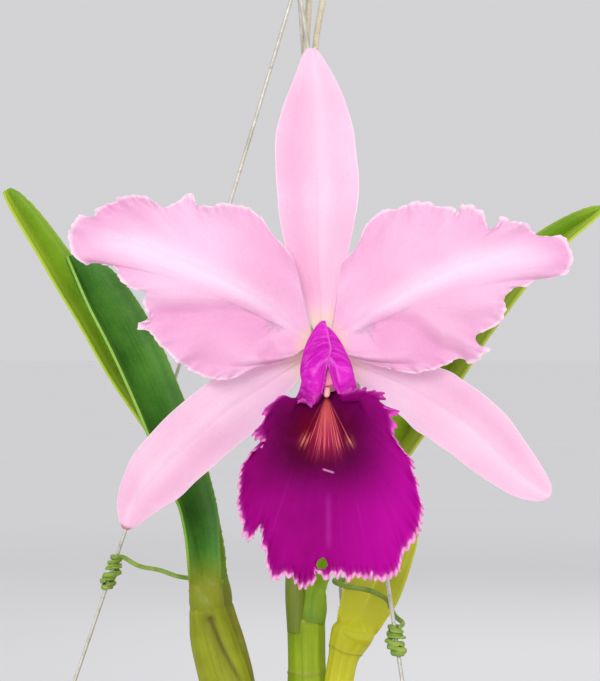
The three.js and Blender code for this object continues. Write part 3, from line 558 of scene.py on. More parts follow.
def lip_paint():
    """Magenta with a dark throat, a brush of coral hairs, veins on the hood and a pale frilled margin, with
    painted shade in the hood's folds and painted highlights on a wrinkle and down the front lobe's middle.
    """
    p = Paint("lip")
    cloud = p.noise(0.06, 3.0)
    p.color = p.mix(p.span(cloud, 0.3, 0.7), (146, 0, 112), (162, 2, 130))
    p.over(p.mark("flush"), (182, 6, 152))
    fan = p.lines("across", 110.0, "along", 3.0, 3.0, 0.6, 0.3)
    p.over(p.span(fan, 0.5, 0.8, 0.0, 0.22), (126, 0, 98))
    p.over(p.span(fan, 0.25, 0.42, 0.14, 0.0), (206, 50, 182))
    # A painted highlight of a fold down the front lobe's middle.
    p.over(p.mark("midvein"), (214, 60, 186))
    dusk = p.times(p.mark("dusk"), p.span(p.noise(0.25, 3.0), 0.2, 0.6, 0.85, 1.0))
    p.over(dusk, (66, 0, 36))
    p.over(p.times(p.mark("ember"), 0.7), (124, 4, 26))
    reach, core = p.mark("reach"), p.mark("core")
    hairs = p.lines("ray", 27.0, "reach", 0.05, 2.0, 0.5, 0.2)
    p.over(core, p.mix(p.span(reach, 3.0, 17.0), (206, 84, 84), (160, 30, 82)))
    p.over(p.times(core, p.span(hairs, 0.5, 0.66)), (222, 112, 108))
    strand = p.mix(p.span(reach, 8.0, 16.0), (220, 96, 108), (220, 104, 106))
    p.over(p.times(p.mark("brush"), p.span(hairs, 0.56, 0.63)), strand)
    p.over(p.times(p.mark("tips"), p.span(hairs, 0.42, 0.52)), (220, 118, 104))
    # A painted highlight on the small wrinkle.
    p.over(p.times(p.dash(*LIP_WRINKLE_HIGHLIGHT), 0.75), (226, 140, 190))
    hood = p.mix(p.span(cloud, 0.3, 0.7), (214, 30, 192), (233, 56, 210))
    rib = p.lines("rib", 30.0, "across", 14.0, 3.0, 0.55, 0.6)
    hood = p.mix(p.span(rib, 0.52, 0.64, 0.0, 0.4), hood, (240, 108, 226))
    hood = p.mix(p.span(rib, 0.34, 0.46, 0.5, 0.0), hood, (180, 4, 160))
    hood = p.mix(p.span(p.noise(0.7, 4.0, 0.7), 0.5, 0.7, 0.0, 0.35), hood, (176, 6, 156))
    # Painted shade where the hood's outer face turns inward.
    hood = p.mix(p.mark("fold"), hood, (170, 6, 146))
    hood = p.mix(p.times(p.mark("ridge"), 0.85), hood, (240, 112, 224))
    p.over(p.mark("outside"), hood)
    rim = p.mark("rim")
    p.over(p.span(rim, 0.1, 0.8, 0.0, 0.4), (214, 70, 186))
    margin = p.mix(p.mark("bleach"), (222, 84, 190), (250, 184, 226))
    patches = p.span(p.noise(0.5, 2.0), 0.3, 0.6, 0.7, 1.0)
    p.over(p.times(p.span(rim, 0.6, 0.95), patches), margin)
    grain = p.noise(2.5, 2.0, 0.7)
    p.bump(fan, 0.3, 0.45)
    p.bump(rib, 0.4, 0.55)
    p.bump(p.noise(0.5, 3.0), 0.25, 0.6)
    p.bump(grain, 0.12, 0.25)
    return p.finish(p.span(grain, 0.2, 0.8, 0.55, 0.75), **soft_flesh(0.06, 1.0), Specular_IOR_Level=0.04)


def waxy_paint(name, pale, deep, streak):
    """The waxy flesh of the column and its cap."""
    p = Paint(name)
    lines = p.lines("around", 26.0, "along", 1.0)
    p.color = p.mix(p.mark("along"), deep, pale)
    p.over(p.span(lines, 0.45, 0.75, 0.0, 0.4), streak)
    p.over(p.span(p.noise(0.6, 2.0), 0.4, 0.75, 0.0, 0.3), pale)
    p.bump(lines, 0.2, 0.3)
    return p.finish(p.span(lines, 0.2, 0.8, 0.3, 0.5), **soft_flesh(0.2, 1.5), Specular_IOR_Level=0.5)


def leaf_paint(name, deep, fresh, edge, back):
    """A thick green leaf with lengthwise veins, painted light along its margins, on its lit half and on some
    midribs, and painted shade near its margins and on the other midribs.
    """
    p = Paint(name)
    veins = p.lines("across", 34.0, "along", 2.2)
    cloud = p.noise(0.05, 4.0)
    p.color = p.mix(p.span(cloud, 0.3, 0.7), deep, fresh)
    p.over(p.span(veins, 0.35, 0.7, 0.0, 0.35), fresh)
    p.over(p.mark("light"), edge)
    p.over(p.mark("shade"), deep)
    p.over(p.mark("young"), back)
    pores = p.noise(1.4, 2.0, 0.6)
    p.over(p.span(pores, 0.52, 0.75, 0.0, 0.16), edge)
    p.bump(veins, 0.3, 0.4)
    p.bump(pores, 0.22, 0.25)
    return p.finish(p.span(cloud, 0.2, 0.8, 0.38, 0.54), **soft_flesh(0.08, 1.5),
                    Specular_IOR_Level=0.35, Coat_Weight=0.05)


def bulb_paint(name, skin_color, pale, dark):
    """A ribbed bulb, pale along its ridges, with brown specks, dry rings at its nodes, and painted shade
    along its furrow and its groove.
    """
    p = Paint(name)
    ribs = p.lines("around", 44.0, "along", 2.5)
    p.color = p.mix(p.span(p.noise(0.06, 3.0), 0.3, 0.7), skin_color, pale)
    p.over(p.span(ribs, 0.4, 0.75, 0.0, 0.28), dark)
    # Painted shade along the furrow.
    p.over(p.times(p.mark("furrow"), 0.35), dark)
    p.over(p.mark("ring"), (166, 150, 84))
    # Painted shade along the groove.
    p.over(p.times(p.mark("groove"), 0.75), (92, 84, 18))
    p.over(p.mark("scar"), (102, 86, 22))
    specks = p.noise(0.55, 3.0, 0.6)
    p.over(p.span(specks, 0.7, 0.78, 0.0, 0.6), (104, 84, 34))
    p.over(p.mark("dry"), (186, 170, 126))
    p.bump(ribs, 0.25, 0.4)
    p.bump(p.noise(1.2, 3.0), 0.25, 0.3)
    return p.finish(p.span(ribs, 0.2, 0.8, 0.36, 0.58), **soft_flesh(0.06, 1.2), Specular_IOR_Level=0.28)


def root_paint():
    """Silvery roots and a greener rhizome, with brown fibres along them."""
    p = Paint("root")
    cloud = p.noise(0.18, 4.0)
    p.color = p.mix(p.span(cloud, 0.3, 0.7), (168, 166, 132), (204, 202, 178))
    p.over(p.mark("stem"), (128, 132, 66))
    fibre = p.lines("around", 20.0, "along", 30.0, 3.0)
    p.over(p.span(fibre, 0.5, 0.72, 0.0, 0.6), (108, 86, 52))
    p.bump(fibre, 0.5, 0.5)
    p.bump(p.noise(1.6, 3.0), 0.4, 0.3)
    return p.finish(p.span(cloud, 0.2, 0.8, 0.6, 0.85))


def stem_paint(name, color_a, color_b, color_c):
    """Fresh stem and sheath, finely lined along their length."""
    p = Paint(name)
    lines = p.lines("around", 30.0, "along", 5.0)
    p.color = p.mix(p.mark("along"), color_a, color_b)
    p.over(p.span(lines, 0.4, 0.75, 0.0, 0.5), color_c)
    p.bump(lines, 0.35, 0.3)
    p.bump(p.noise(1.5, 2.0), 0.2, 0.2)
    return p.finish(p.span(lines, 0.2, 0.8, 0.38, 0.55), **soft_flesh(0.1, 1.0), Specular_IOR_Level=0.4)


def wire_paint(name, bright, dull, grime):
    """Dull galvanised wire with patches of grime."""
    p = Paint(name)
    patches = p.noise(0.12, 5.0, 0.65)
    p.color = p.mix(p.span(patches, 0.35, 0.65), bright, dull)
    stains = p.noise(0.5, 4.0, 0.7)
    p.over(p.span(stains, 0.55, 0.72, 0.0, 0.65), grime)
    scratches = p.noise(1.0, 3.0, vector=p.stretched(3.0, 3.0, 0.35))
    p.bump(scratches, 0.2, 0.1)
    return p.finish(p.span(stains, 0.3, 0.7, 0.34, 0.62), Metallic=0.35)


def coated_paint(name, light, mid, dark):
    """A plastic coating, faded and scuffed."""
    p = Paint(name)
    fade = p.noise(0.2, 4.0)
    p.color = p.mix(p.span(fade, 0.3, 0.7), mid, light)
    scuffs = p.noise(1.1, 4.0, 0.65)
    p.over(p.span(scuffs, 0.55, 0.75, 0.0, 0.7), dark)
    p.bump(scuffs, 0.25, 0.15)
    return p.finish(p.span(scuffs, 0.3, 0.7, 0.42, 0.66))


def clay_paint():
    """Fired clay with lime bloom, damp patches low down and fine throwing lines."""
    p = Paint("clay")
    cloud = p.noise(0.03, 5.0, 0.6)
    p.color = p.mix(p.span(cloud, 0.3, 0.7), (176, 104, 70), (200, 128, 90))
    bloom = p.noise(0.05, 6.0, 0.68, distortion=0.4)
    p.over(p.span(bloom, 0.52, 0.72, 0.0, 0.7), (222, 202, 180))
    damp = p.times(p.mark("low"), p.span(p.noise(0.06, 4.0), 0.3, 0.65))
    p.over(damp, (120, 74, 50))
    lines = p.noise(1.0, 3.0, vector=p.stretched(0.03, 0.03, 1.3))
    p.over(p.span(lines, 0.4, 0.7, 0.0, 0.14), (140, 80, 54))
    grit = p.noise(1.6, 3.0, 0.7)
    p.over(p.span(grit, 0.58, 0.72, 0.0, 0.4), (120, 72, 48))
    p.bump(lines, 0.35, 0.4)
    p.bump(grit, 0.35, 0.25)
    return p.finish(p.span(bloom, 0.2, 0.8, 0.72, 0.95), Specular_IOR_Level=0.25)


def bark_paint():
    """Pine bark chips, each of its own brown, layered and cracked, with a few dusty ones."""
    p = Paint("bark")
    tone = p.mark("tone")
    layers = p.noise(1.0, 5.0, 0.65, p.stretched(0.25, 0.25, 1.4))
    p.color = p.mix(tone, (66, 42, 28), (140, 98, 66))
    p.over(p.span(layers, 0.4, 0.7, 0.0, 0.8), (92, 52, 34))
    cracks = p.noise(0.32, 5.0, 0.7, distortion=0.8)
    p.over(p.span(cracks, 0.36, 0.44, 0.8, 0.0), (30, 20, 14))
    dust = p.noise(0.15, 5.0, 0.7)
    p.over(p.times(p.span(dust, 0.52, 0.7), 0.5), (176, 150, 118))
    p.bump(layers, 0.7, 0.8)
    p.bump(cracks, 0.6, 0.8)
    return p.finish(0.9, Specular_IOR_Level=0.2)


# ---- camera, light and floor
IMAGE_HEIGHT = 681  # pixels in the photo
MM_PER_PIXEL = 0.32  # in the plane of the flower's petals
CAMERA_AWAY = 750  # from the camera to that plane
CAMERA_HEIGHT = 272
SENSOR = 36
LIGHT_TARGET = (0, -0.05, 0.25)
LIGHTS = {  # place in metres, width of the disk, power and colour
    "key": ((-0.3, -1.45, 0.8), 0.7, 8.4, (1.0, 0.98, 0.96)),
    "fill": ((1.2, -0.9, 0.5), 1.0, 2, (0.96, 0.98, 1.0)),
    "low": ((0.1, -1.3, 0.05), 0.6, 2.4, (1.0, 0.98, 0.97)),
    "back": ((0.3, 1.3, 1.1), 0.8, 5, (1.0, 1.0, 1.0)),
}
SKY = (0.98, 0.98, 1.0, 1.0)
SKY_STRENGTH = 0.66
FLOOR_REACH = 30000  # from the middle of the floor to each side


def camera():
    data = bpy.data.cameras.new("camera")
    data.sensor_fit = "VERTICAL"
    data.sensor_height = SENSOR
    data.lens = SENSOR * CAMERA_AWAY / (IMAGE_HEIGHT * MM_PER_PIXEL)
    data.clip_start = 0.02
    obj = bpy.data.objects.new("camera", data)
    obj.location = (0, (FLOWER[1] - CAMERA_AWAY) * MM, CAMERA_HEIGHT * MM)
    obj.rotation_euler = (math.radians(90), 0, 0)
    bpy.context.scene.collection.objects.link(obj)
    bpy.context.scene.camera = obj


def area_light(name, place, size, power, color):
    data = bpy.data.lights.new(name, "AREA")
    data.shape = "DISK"
    data.size = size
    data.energy = power
    data.color = color
    obj = bpy.data.objects.new(name, data)
    obj.location = place
    obj.rotation_euler = (Vector(LIGHT_TARGET) - Vector(place)).to_track_quat("-Z", "Y").to_euler()
    bpy.context.scene.collection.objects.link(obj)


def studio():
    scene = bpy.context.scene
    scene.view_settings.view_transform = "Standard"
    scene.view_settings.look = "None"
    world = bpy.data.worlds.new("studio")
    world.use_nodes = True
    backdrop = world.node_tree.nodes["Background"]
    backdrop.inputs["Color"].default_value = SKY
    backdrop.inputs["Strength"].default_value = SKY_STRENGTH
    scene.world = world
    for name, light in LIGHTS.items():
        area_light(name, *light)
    floor = Paint("floor")
    away = floor.node("ShaderNodeVectorMath", {0: floor.place()}, "Value", operation="LENGTH")
    floor.color = floor.mix(floor.span(away, 0.3, 3.0), (222, 222, 224), (252, 252, 253))
    floor.over(floor.span(floor.noise(0.004, 3.0), 0.3, 0.7, 0.0, 0.04), (205, 205, 206))
    floor.finish(0.8, Specular_IOR_Level=0.1)
    half = FLOOR_REACH * MM
    corners = [[-half, -half, 0], [half, -half, 0], [half, half, 0], [-half, half, 0]]
    mesh = bpy.data.meshes.new("floor")
    mesh.from_pydata(corners, [], [[0, 1, 2, 3]])
    mesh.materials.append(floor.material)
    obj = bpy.data.objects.new("floor", mesh)
    scene.collection.objects.link(obj)


camera()
studio()


# ---- pot
BAND_BOTTOM = POT_HEIGHT - POT_BAND_HEIGHT
WALL_TOP_RADIUS = POT_RIM_RADIUS - POT_BAND_STEP
POT_ROUNDING = 2.2
POT_SIDES = 160


def inner_radius(z):
    """The radius of the pot's inside at a height."""
    share = (z - POT_FLOOR) / (POT_HEIGHT - POT_FLOOR)
    return POT_FOOT_RADIUS - POT_WALL + (WALL_TOP_RADIUS - POT_FOOT_RADIUS + 1) * share


def rounded_corners(profile, radius, steps=4):
    """The same outline with an arc-like bend of about the radius at each inner corner point."""
    out = [profile[0]]
    for before, corner, after in zip(profile[:-2], profile[1:-1], profile[2:]):
        before, corner, after = (np.array(p, float) for p in (before, corner, after))
        start = corner + unit(before - corner) * min(radius, np.linalg.norm(before - corner) / 2.2)
        end = corner + unit(after - corner) * min(radius, np.linalg.norm(after - corner) / 2.2)
        for t in np.linspace(0, 1, steps):
            out.append((1 - t) ** 2 * start + 2 * t * (1 - t) * corner + t * t * end)
    out.append(profile[-1])
    return out


def split_long(profile, longest):
    """The same outline with points added so that no step is longer than this."""
    out = [np.array(profile[0], float)]
    for a, b in zip(profile[:-1], profile[1:]):
        a, b = np.array(a, float), np.array(b, float)
        count = max(1, math.ceil(np.linalg.norm(b - a) / longest))
        out += [a + (b - a) * k / count for k in range(1, count + 1)]
    return out


def pot():
    """The pot, with faint rings from the wheel on its outer wall and drain holes cut in its floor."""
    profile = [
        [0, 0], [POT_FOOT_RADIUS, 0], [WALL_TOP_RADIUS, BAND_BOTTOM], [POT_RIM_RADIUS, BAND_BOTTOM],
        [POT_RIM_RADIUS, POT_HEIGHT], [inner_radius(POT_HEIGHT), POT_HEIGHT],
        [inner_radius(POT_FLOOR), POT_FLOOR], [0, POT_FLOOR],
    ]
    shape = lathe(split_long(rounded_corners(profile, POT_ROUNDING), 3.5), POT_SIDES)
    x, y, z = shape.points.T
    radius = np.hypot(x, y)
    turn = np.arctan2(y, x)
    outside = radius > inner_radius(z) + POT_WALL / 2
    on_wall = smooth((z - 4) / 8) * smooth((BAND_BOTTOM - 2 - z) / 6) * outside
    rings = 0.18 * np.sin(2 * math.pi * z / 4.3 + 0.6 * np.sin(3 * turn))
    rings = rings + 0.12 * np.sin(2 * math.pi * z / 7.1)
    shape.points[:, :2] *= (1 + on_wall * rings / np.maximum(radius, 1))[:, None]
    shape.marks["low"] = smooth((55 - z) / 45)
    obj = piece("clay_pot", shape, clay_paint(), "clay", "pot", sharp=60)
    drill = bpy.data.collections.new("drill")
    for i in range(DRAIN_HOLES):
        angle = 2 * math.pi * (i + 0.5) / DRAIN_HOLES
        centre = np.array([DRAIN_CIRCLE * math.cos(angle), DRAIN_CIRCLE * math.sin(angle), 0])
        rod = tube(np.array([centre - 5 * UP, centre + 2 * POT_FLOOR * UP]), DRAIN_RADIUS, 32)
        drill.objects.link(bpy.data.objects.new(f"drill_{i}", add_mesh(f"drill_{i}", rod)))
    cut = obj.modifiers.new("drain", "BOOLEAN")
    cut.operand_type = "COLLECTION"
    cut.collection = drill
    cut.operation = "DIFFERENCE"
    cut.solver = "EXACT"
    bpy.context.view_layer.update()
    with bpy.context.temp_override(object=obj, active_object=obj):
        bpy.ops.object.modifier_apply(modifier=cut.name)
    for rod in list(drill.objects):
        bpy.data.objects.remove(rod)
    bpy.data.collections.remove(drill)


pot()

# ---- rhizome, roots and bark chips
RHIZOME_HEIGHT = 97
RHIZOME_RADIUS = 4.3
RHIZOME = [[-32, 14, RHIZOME_HEIGHT - 1], [-21, 9, RHIZOME_HEIGHT], [-15, 0, RHIZOME_HEIGHT],
           [-10, -6, RHIZOME_HEIGHT], [-3, -2, RHIZOME_HEIGHT], [3, 2, RHIZOME_HEIGHT],
           [11, 0, RHIZOME_HEIGHT + 0.5], [19, -5, RHIZOME_HEIGHT + 1.5]]
ROOT_RADIUS = 1.7
ROOTS = [
    [[-27, 12, 96], [-40, 20, 100.6], [-54, 26, 99.5], [-64, 28, 88]],
    [[-11, -5, 96], [-22, -22, 100.4], [-30, -38, 99.8], [-33, -50, 87]],
    [[4, 1, 96], [10, -18, 100.6], [8, -36, 99.6], [4, -48, 86]],
    [[12, -2, 96], [30, -12, 100.4], [46, -14, 99.5], [58, -16, 87]],
    [[-1, 0, 96], [-4, 22, 100.5], [1, 37, 99.6], [6, 48, 86]],
]


def rhizome():
    """The creeping stem, ringed with scars, and its roots."""
    places = np.linspace(0, 1, 120)
    scars = 0.35 * np.abs(np.sin(math.pi * 8 * places)) ** 6
    radius = RHIZOME_RADIUS * (0.9 + 0.05 * wobble(places, 3, 2, 7)) + scars
    radius = radius * np.sqrt(smooth(places / 0.04) * smooth((1 - places) / 0.04) * 0.98 + 0.02)
    parts = [tube(curve(RHIZOME, places), radius, 24, stem=1.0)]
    for i, path in enumerate(ROOTS):
        places = np.linspace(0, 1, 60)
        line = curve(path, places)
        line[:, 0] += 0.5 * wobble(places, 20 + i, 1, 4)
        size = ROOT_RADIUS * (1 + 0.06 * wobble(places, 30 + i, 3, 9))
        parts.append(tube(line, size, 12, stem=0.0))
    piece("rhizome_and_roots", joined(parts), root_paint(), "root", "rhizome")


rhizome()


def chip(random):
    """One bark chip about the origin: a box with rounded, chipped corners."""
    steps = (5, 4, 3)  # points along each edge of the box
    axes = [np.linspace(-1, 1, count) for count in steps]
    points, quads = [], []
    for fixed in range(3):
        a, b = [k for k in range(3) if k != fixed]
        for end in (-1, 1):
            u, v = np.meshgrid(axes[a], axes[b], indexing="ij")
            sheet = np.empty(u.shape + (3,))
            sheet[..., fixed], sheet[..., a], sheet[..., b] = end, u, v
            index = np.arange(u.size).reshape(u.shape) + sum(len(p) for p in points)
            quad = cells(index).reshape(-1, 4)
            quads.append(quad if (end > 0) == (fixed != 1) else quad[:, ::-1])
            points.append(sheet.reshape(-1, 3))
    points = np.concatenate(points)
    unique, inverse = np.unique(np.round(points, 6), axis=0, return_inverse=True)
    quads = inverse.ravel()[np.concatenate(quads)]
    size = np.array([random.uniform(7, 13), random.uniform(5, 8.5), random.uniform(2.2, 4.2)])
    corner = unique / np.maximum(np.linalg.norm(unique, axis=1, keepdims=True) ** 0.35, 1e-6)
    seed = int(random.integers(1 << 30))
    skew = np.array([[1, random.uniform(-0.3, 0.3), 0], [0, 1, 0], [random.uniform(-0.2, 0.2), 0, 1]])
    shaped = (corner * size) @ skew
    dents = 0.5 * unit(shaped) * random.normal(size=(len(shaped), 1))
    return shaped * (1 + 0.10 * rough(shaped, seed, 6)[:, None]) + dents, quads


def turned_by(points, tilt_x, tilt_y, turn):
    """The same points turned about X, then Y, then Z."""
    for angle, (a, b) in ((tilt_x, (1, 2)), (tilt_y, (2, 0)), (turn, (0, 1))):
        c, s = math.cos(angle), math.sin(angle)
        points = points.copy()
        points[:, a], points[:, b] = c * points[:, a] - s * points[:, b], s * points[:, a] + c * points[:, b]
    return points


# ---- stakes, and the bark round them
STAKES = {
    "left": [[1.5, 18, 40], [1.5, 17, 120], [1.5, 13.5, 190], [1.8, 11, 280], [2.3, 5, 372], [3.4, 4.6, 395]],
    "right": [[8, 18, 40], [7, 17, 120], [6, 14.5, 190], [5, 12, 280], [5.2, 9.5, 372], [8.2, 9, 392]],
}


def bark():
    """A dark bed with loose chips lying on it, clear of whatever stands in it."""
    random = np.random.default_rng(BARK_SEED)
    standing = [curve(RHIZOME, np.linspace(0, 1, 40))] + [curve(r, np.linspace(0, 1, 30)) for r in ROOTS]
    standing += [np.array(s[:2], float)[1:] * [1, 1, 0] + [0, 0, MEDIUM_TOP] for s in STAKES.values()]
    standing = np.concatenate(standing)
    wall = inner_radius(MEDIUM_TOP - 4) - GAP
    profile = [[0, POT_FLOOR + GAP], [inner_radius(POT_FLOOR) - 1, POT_FLOOR + GAP],
               [wall - 0.8, MEDIUM_TOP - 5], [0, MEDIUM_TOP - 4]]
    bed = lathe(split_long(profile, 6), 96)
    top = bed.points[:, 2] > MEDIUM_TOP - 6
    bed.points[top, 2] += 0.8 * rough(bed.points[top], 5, 7)
    bed.marks = {"tone": np.full(len(bed.points), 0.1)}
    parts = [bed]
    while len(parts) <= BARK_CHIPS:
        points, quads = chip(random)
        reach = np.linalg.norm(points[:, :2], axis=1).max()
        radius = (wall - 1.5 - 0.8 * reach) * math.sqrt(random.random())
        angle = random.uniform(0, 2 * math.pi)
        points = turned_by(points, random.normal() * 0.22, random.normal() * 0.22, random.uniform(0, math.pi))
        layer = len(parts) % 3
        points = points + [radius * math.cos(angle), radius * math.sin(angle), MEDIUM_TOP - 3.4 + 1.9 * layer]
        tone = random.random()
        near = standing[np.linalg.norm(standing[:, :2] - points[:, :2].mean(axis=0), axis=1) < reach + 8]
        if len(near):
            clear = np.linalg.norm(points[:, None] - near[None], axis=2).min()
            if clear < CHIP_CLEAR:
                points[:, 2] -= CHIP_SINK
                clear = np.linalg.norm(points[:, None] - near[None], axis=2).min()
                if clear < SUNK_CHIP_CLEAR or layer:
                    # No room here: an empty part keeps the count, and so the layers of the chips after it.
                    parts.append(Shape(points[:0], quads[:0], tone=np.zeros(0)))
                    continue
        if np.hypot(points[:, 0], points[:, 1]).max() > wall:
            continue
        parts.append(Shape(points, quads, tone=tone))
    piece("bark_chips", joined(parts), bark_paint(), "bark", "bark_medium", sharp=28)


bark()
stake_coat = coated_paint("stake_coating", (222, 214, 188), (206, 198, 172), (150, 140, 112))
for side, path in STAKES.items():
    rod = tube_along(path, 90, STAKE_RADIUS, 16)
    piece(f"support_stake_{side}", rod, stake_coat, "stake", f"stake_{side}")


# ---- pseudobulbs
# Radii and rings stand at a share of the bulb's axis, a crease at a share of a turn. A groove is a line
# of [across, up] places on the bulb's front, painted darker as shade. The colours are those of the skin, its
# pale and its dark parts.
BULB_SEAT = RHIZOME_HEIGHT + RHIZOME_RADIUS + GAP
BULBS = {
    "left_front": {
        "axis": [[-12, -6.5, BULB_SEAT], [-18, -9, 130], [-26, -10, 158.5], [-30.3, -10.8, 174],
                 [-31.6, -11.4, 183], [-32.4, -11.8, 190]],
        "radius": [[0, 4.2], [0.16, 6.6], [0.36, 8.4], [0.52, 7.8], [0.67, 6.5], [0.76, 5.9], [0.84, 4.6],
                   [0.92, 3.4], [1, 1]],
        "rings": (0.19, 0.33), "crease": 0.72,
        "groove": [[-30.1, 178.4], [-26.6, 170], [-22.6, 162], [-18, 154]],
        "colors": ((136, 146, 10), (166, 176, 34), (98, 104, 8)),
    },
    "left_back": {
        "axis": [[-20, 8.5, BULB_SEAT], [-20.3, 9.5, 130], [-23.8, 9, 156], [-26.6, 9, 171],
                 [-28.6, 9, 181], [-29.6, 8.6, 188]],
        "radius": [[0, 4.2], [0.16, 6.2], [0.36, 7.6], [0.52, 6.9], [0.67, 5.7], [0.78, 5], [0.88, 3.4],
                   [1, 1]],
        "rings": (0.22, 0.36), "crease": 0.7,
        "colors": ((134, 138, 20), (164, 168, 44), (100, 98, 14)),
    },
    "centre": {
        "axis": [[3, 2.5, BULB_SEAT], [3, 3, 125], [2.6, 3, 150], [2.3, 3, 165], [2.3, 3, 176],
                 [2.6, 3.2, 182]],
        "radius": [[0, 4.2], [0.16, 6.6], [0.34, 7.2], [0.56, 6.3], [0.74, 6.4], [0.8, 6.2], [0.83, 5],
                   [0.88, 3], [1, 1]],
        "rings": (0.22, 0.5, 0.79), "crease": 0.75,
        "colors": ((142, 174, 18), (172, 198, 40), (100, 130, 12)),
    },
    "new_growth": {
        "axis": [[14.5, -2, BULB_SEAT + 0.9], [13, -2.5, 130], [13, -2, 152], [15.2, -2, 165],
                 [18.6, -2, 174], [20.3, -2, 180]],
        "radius": [[0, 3.6], [0.24, 4.6], [0.56, 5], [0.66, 6.3], [0.74, 7.1], [0.8, 6.3], [0.87, 4.2],
                   [1, 1]],
        "rings": (0.3, 0.62), "crease": 0.68,
        "colors": ((210, 212, 40), (230, 230, 72), (172, 178, 28)),
    },
}


def bulb(name, axis, radius, rings, crease, colors, groove=None):
    """A bulb with faint ribs, a furrow, raised rings at its nodes and a dry sheath below the first ring."""
    rows, sides = 160, 64
    t = np.linspace(0, 1, rows)[:, None]
    turn = side_angles(sides)[None]
    seed = seed_of(name)
    ribs = 0.14 * np.sin(9 * turn + 1.2 * wobble(t, seed, 0.4, 1.2))
    ribs = ribs + 0.08 * np.sin(15 * turn + 2 * wobble(t, seed + 1, 0.5, 1.6))
    fade = smooth(t / 0.15) * smooth((0.9 - t) / 0.15)
    furrow = bell(wrapped(turn - 2 * math.pi * crease - 0.5 * (t - 0.5)), 0.16)
    ring = sum(bell(t - place - 0.006 * np.sin(3 * turn), 0.007) for place in rings)
    sheath = smooth((rings[0] - t + 0.008 * wobble(turn / 6, seed + 5, 1, 5)) / 0.004)
    reach = through(radius)(t) + fade * (ribs - 0.4 * furrow) + 0.25 * ring * fade + 0.22 * sheath * fade
    line = curve(axis, t[:, 0])
    dry = sheath * 0.75 * smooth((0.28 - t) / 0.08)
    shape = tube(line, reach, sides, 0.85, furrow=furrow * fade, ring=np.clip(ring, 0, 1) * 0.5, dry=dry,
                 groove=0.0, scar=0.0)
    if groove:
        x, y, z = shape.points.T
        in_front = smooth((line[rows // 2, 1] - y) / 2)
        gap, place = beside(x, z, groove)
        # The line is pushed back a little and painted darker as shade.
        cut = bell(gap, 0.7) * in_front * smooth((1 - place) / 0.3)
        shape.marks["groove"] = cut + 0.35 * bell(gap - 1.6, 2) * in_front
        scar = (x - groove[0][0]) ** 2 + (z - groove[0][1]) ** 2
        shape.marks["scar"] = np.exp(-(scar / 1.1)) * in_front
        shape.points[:, 1] += 0.5 * cut
    slot = "young_leaf" if name == "new_growth" else "bulb"
    piece(f"bulb_{name}", shape, bulb_paint(f"bulb_{name}", *colors), slot, f"pseudobulb_{name}")


for name, parts in BULBS.items():
    bulb(name, **parts)

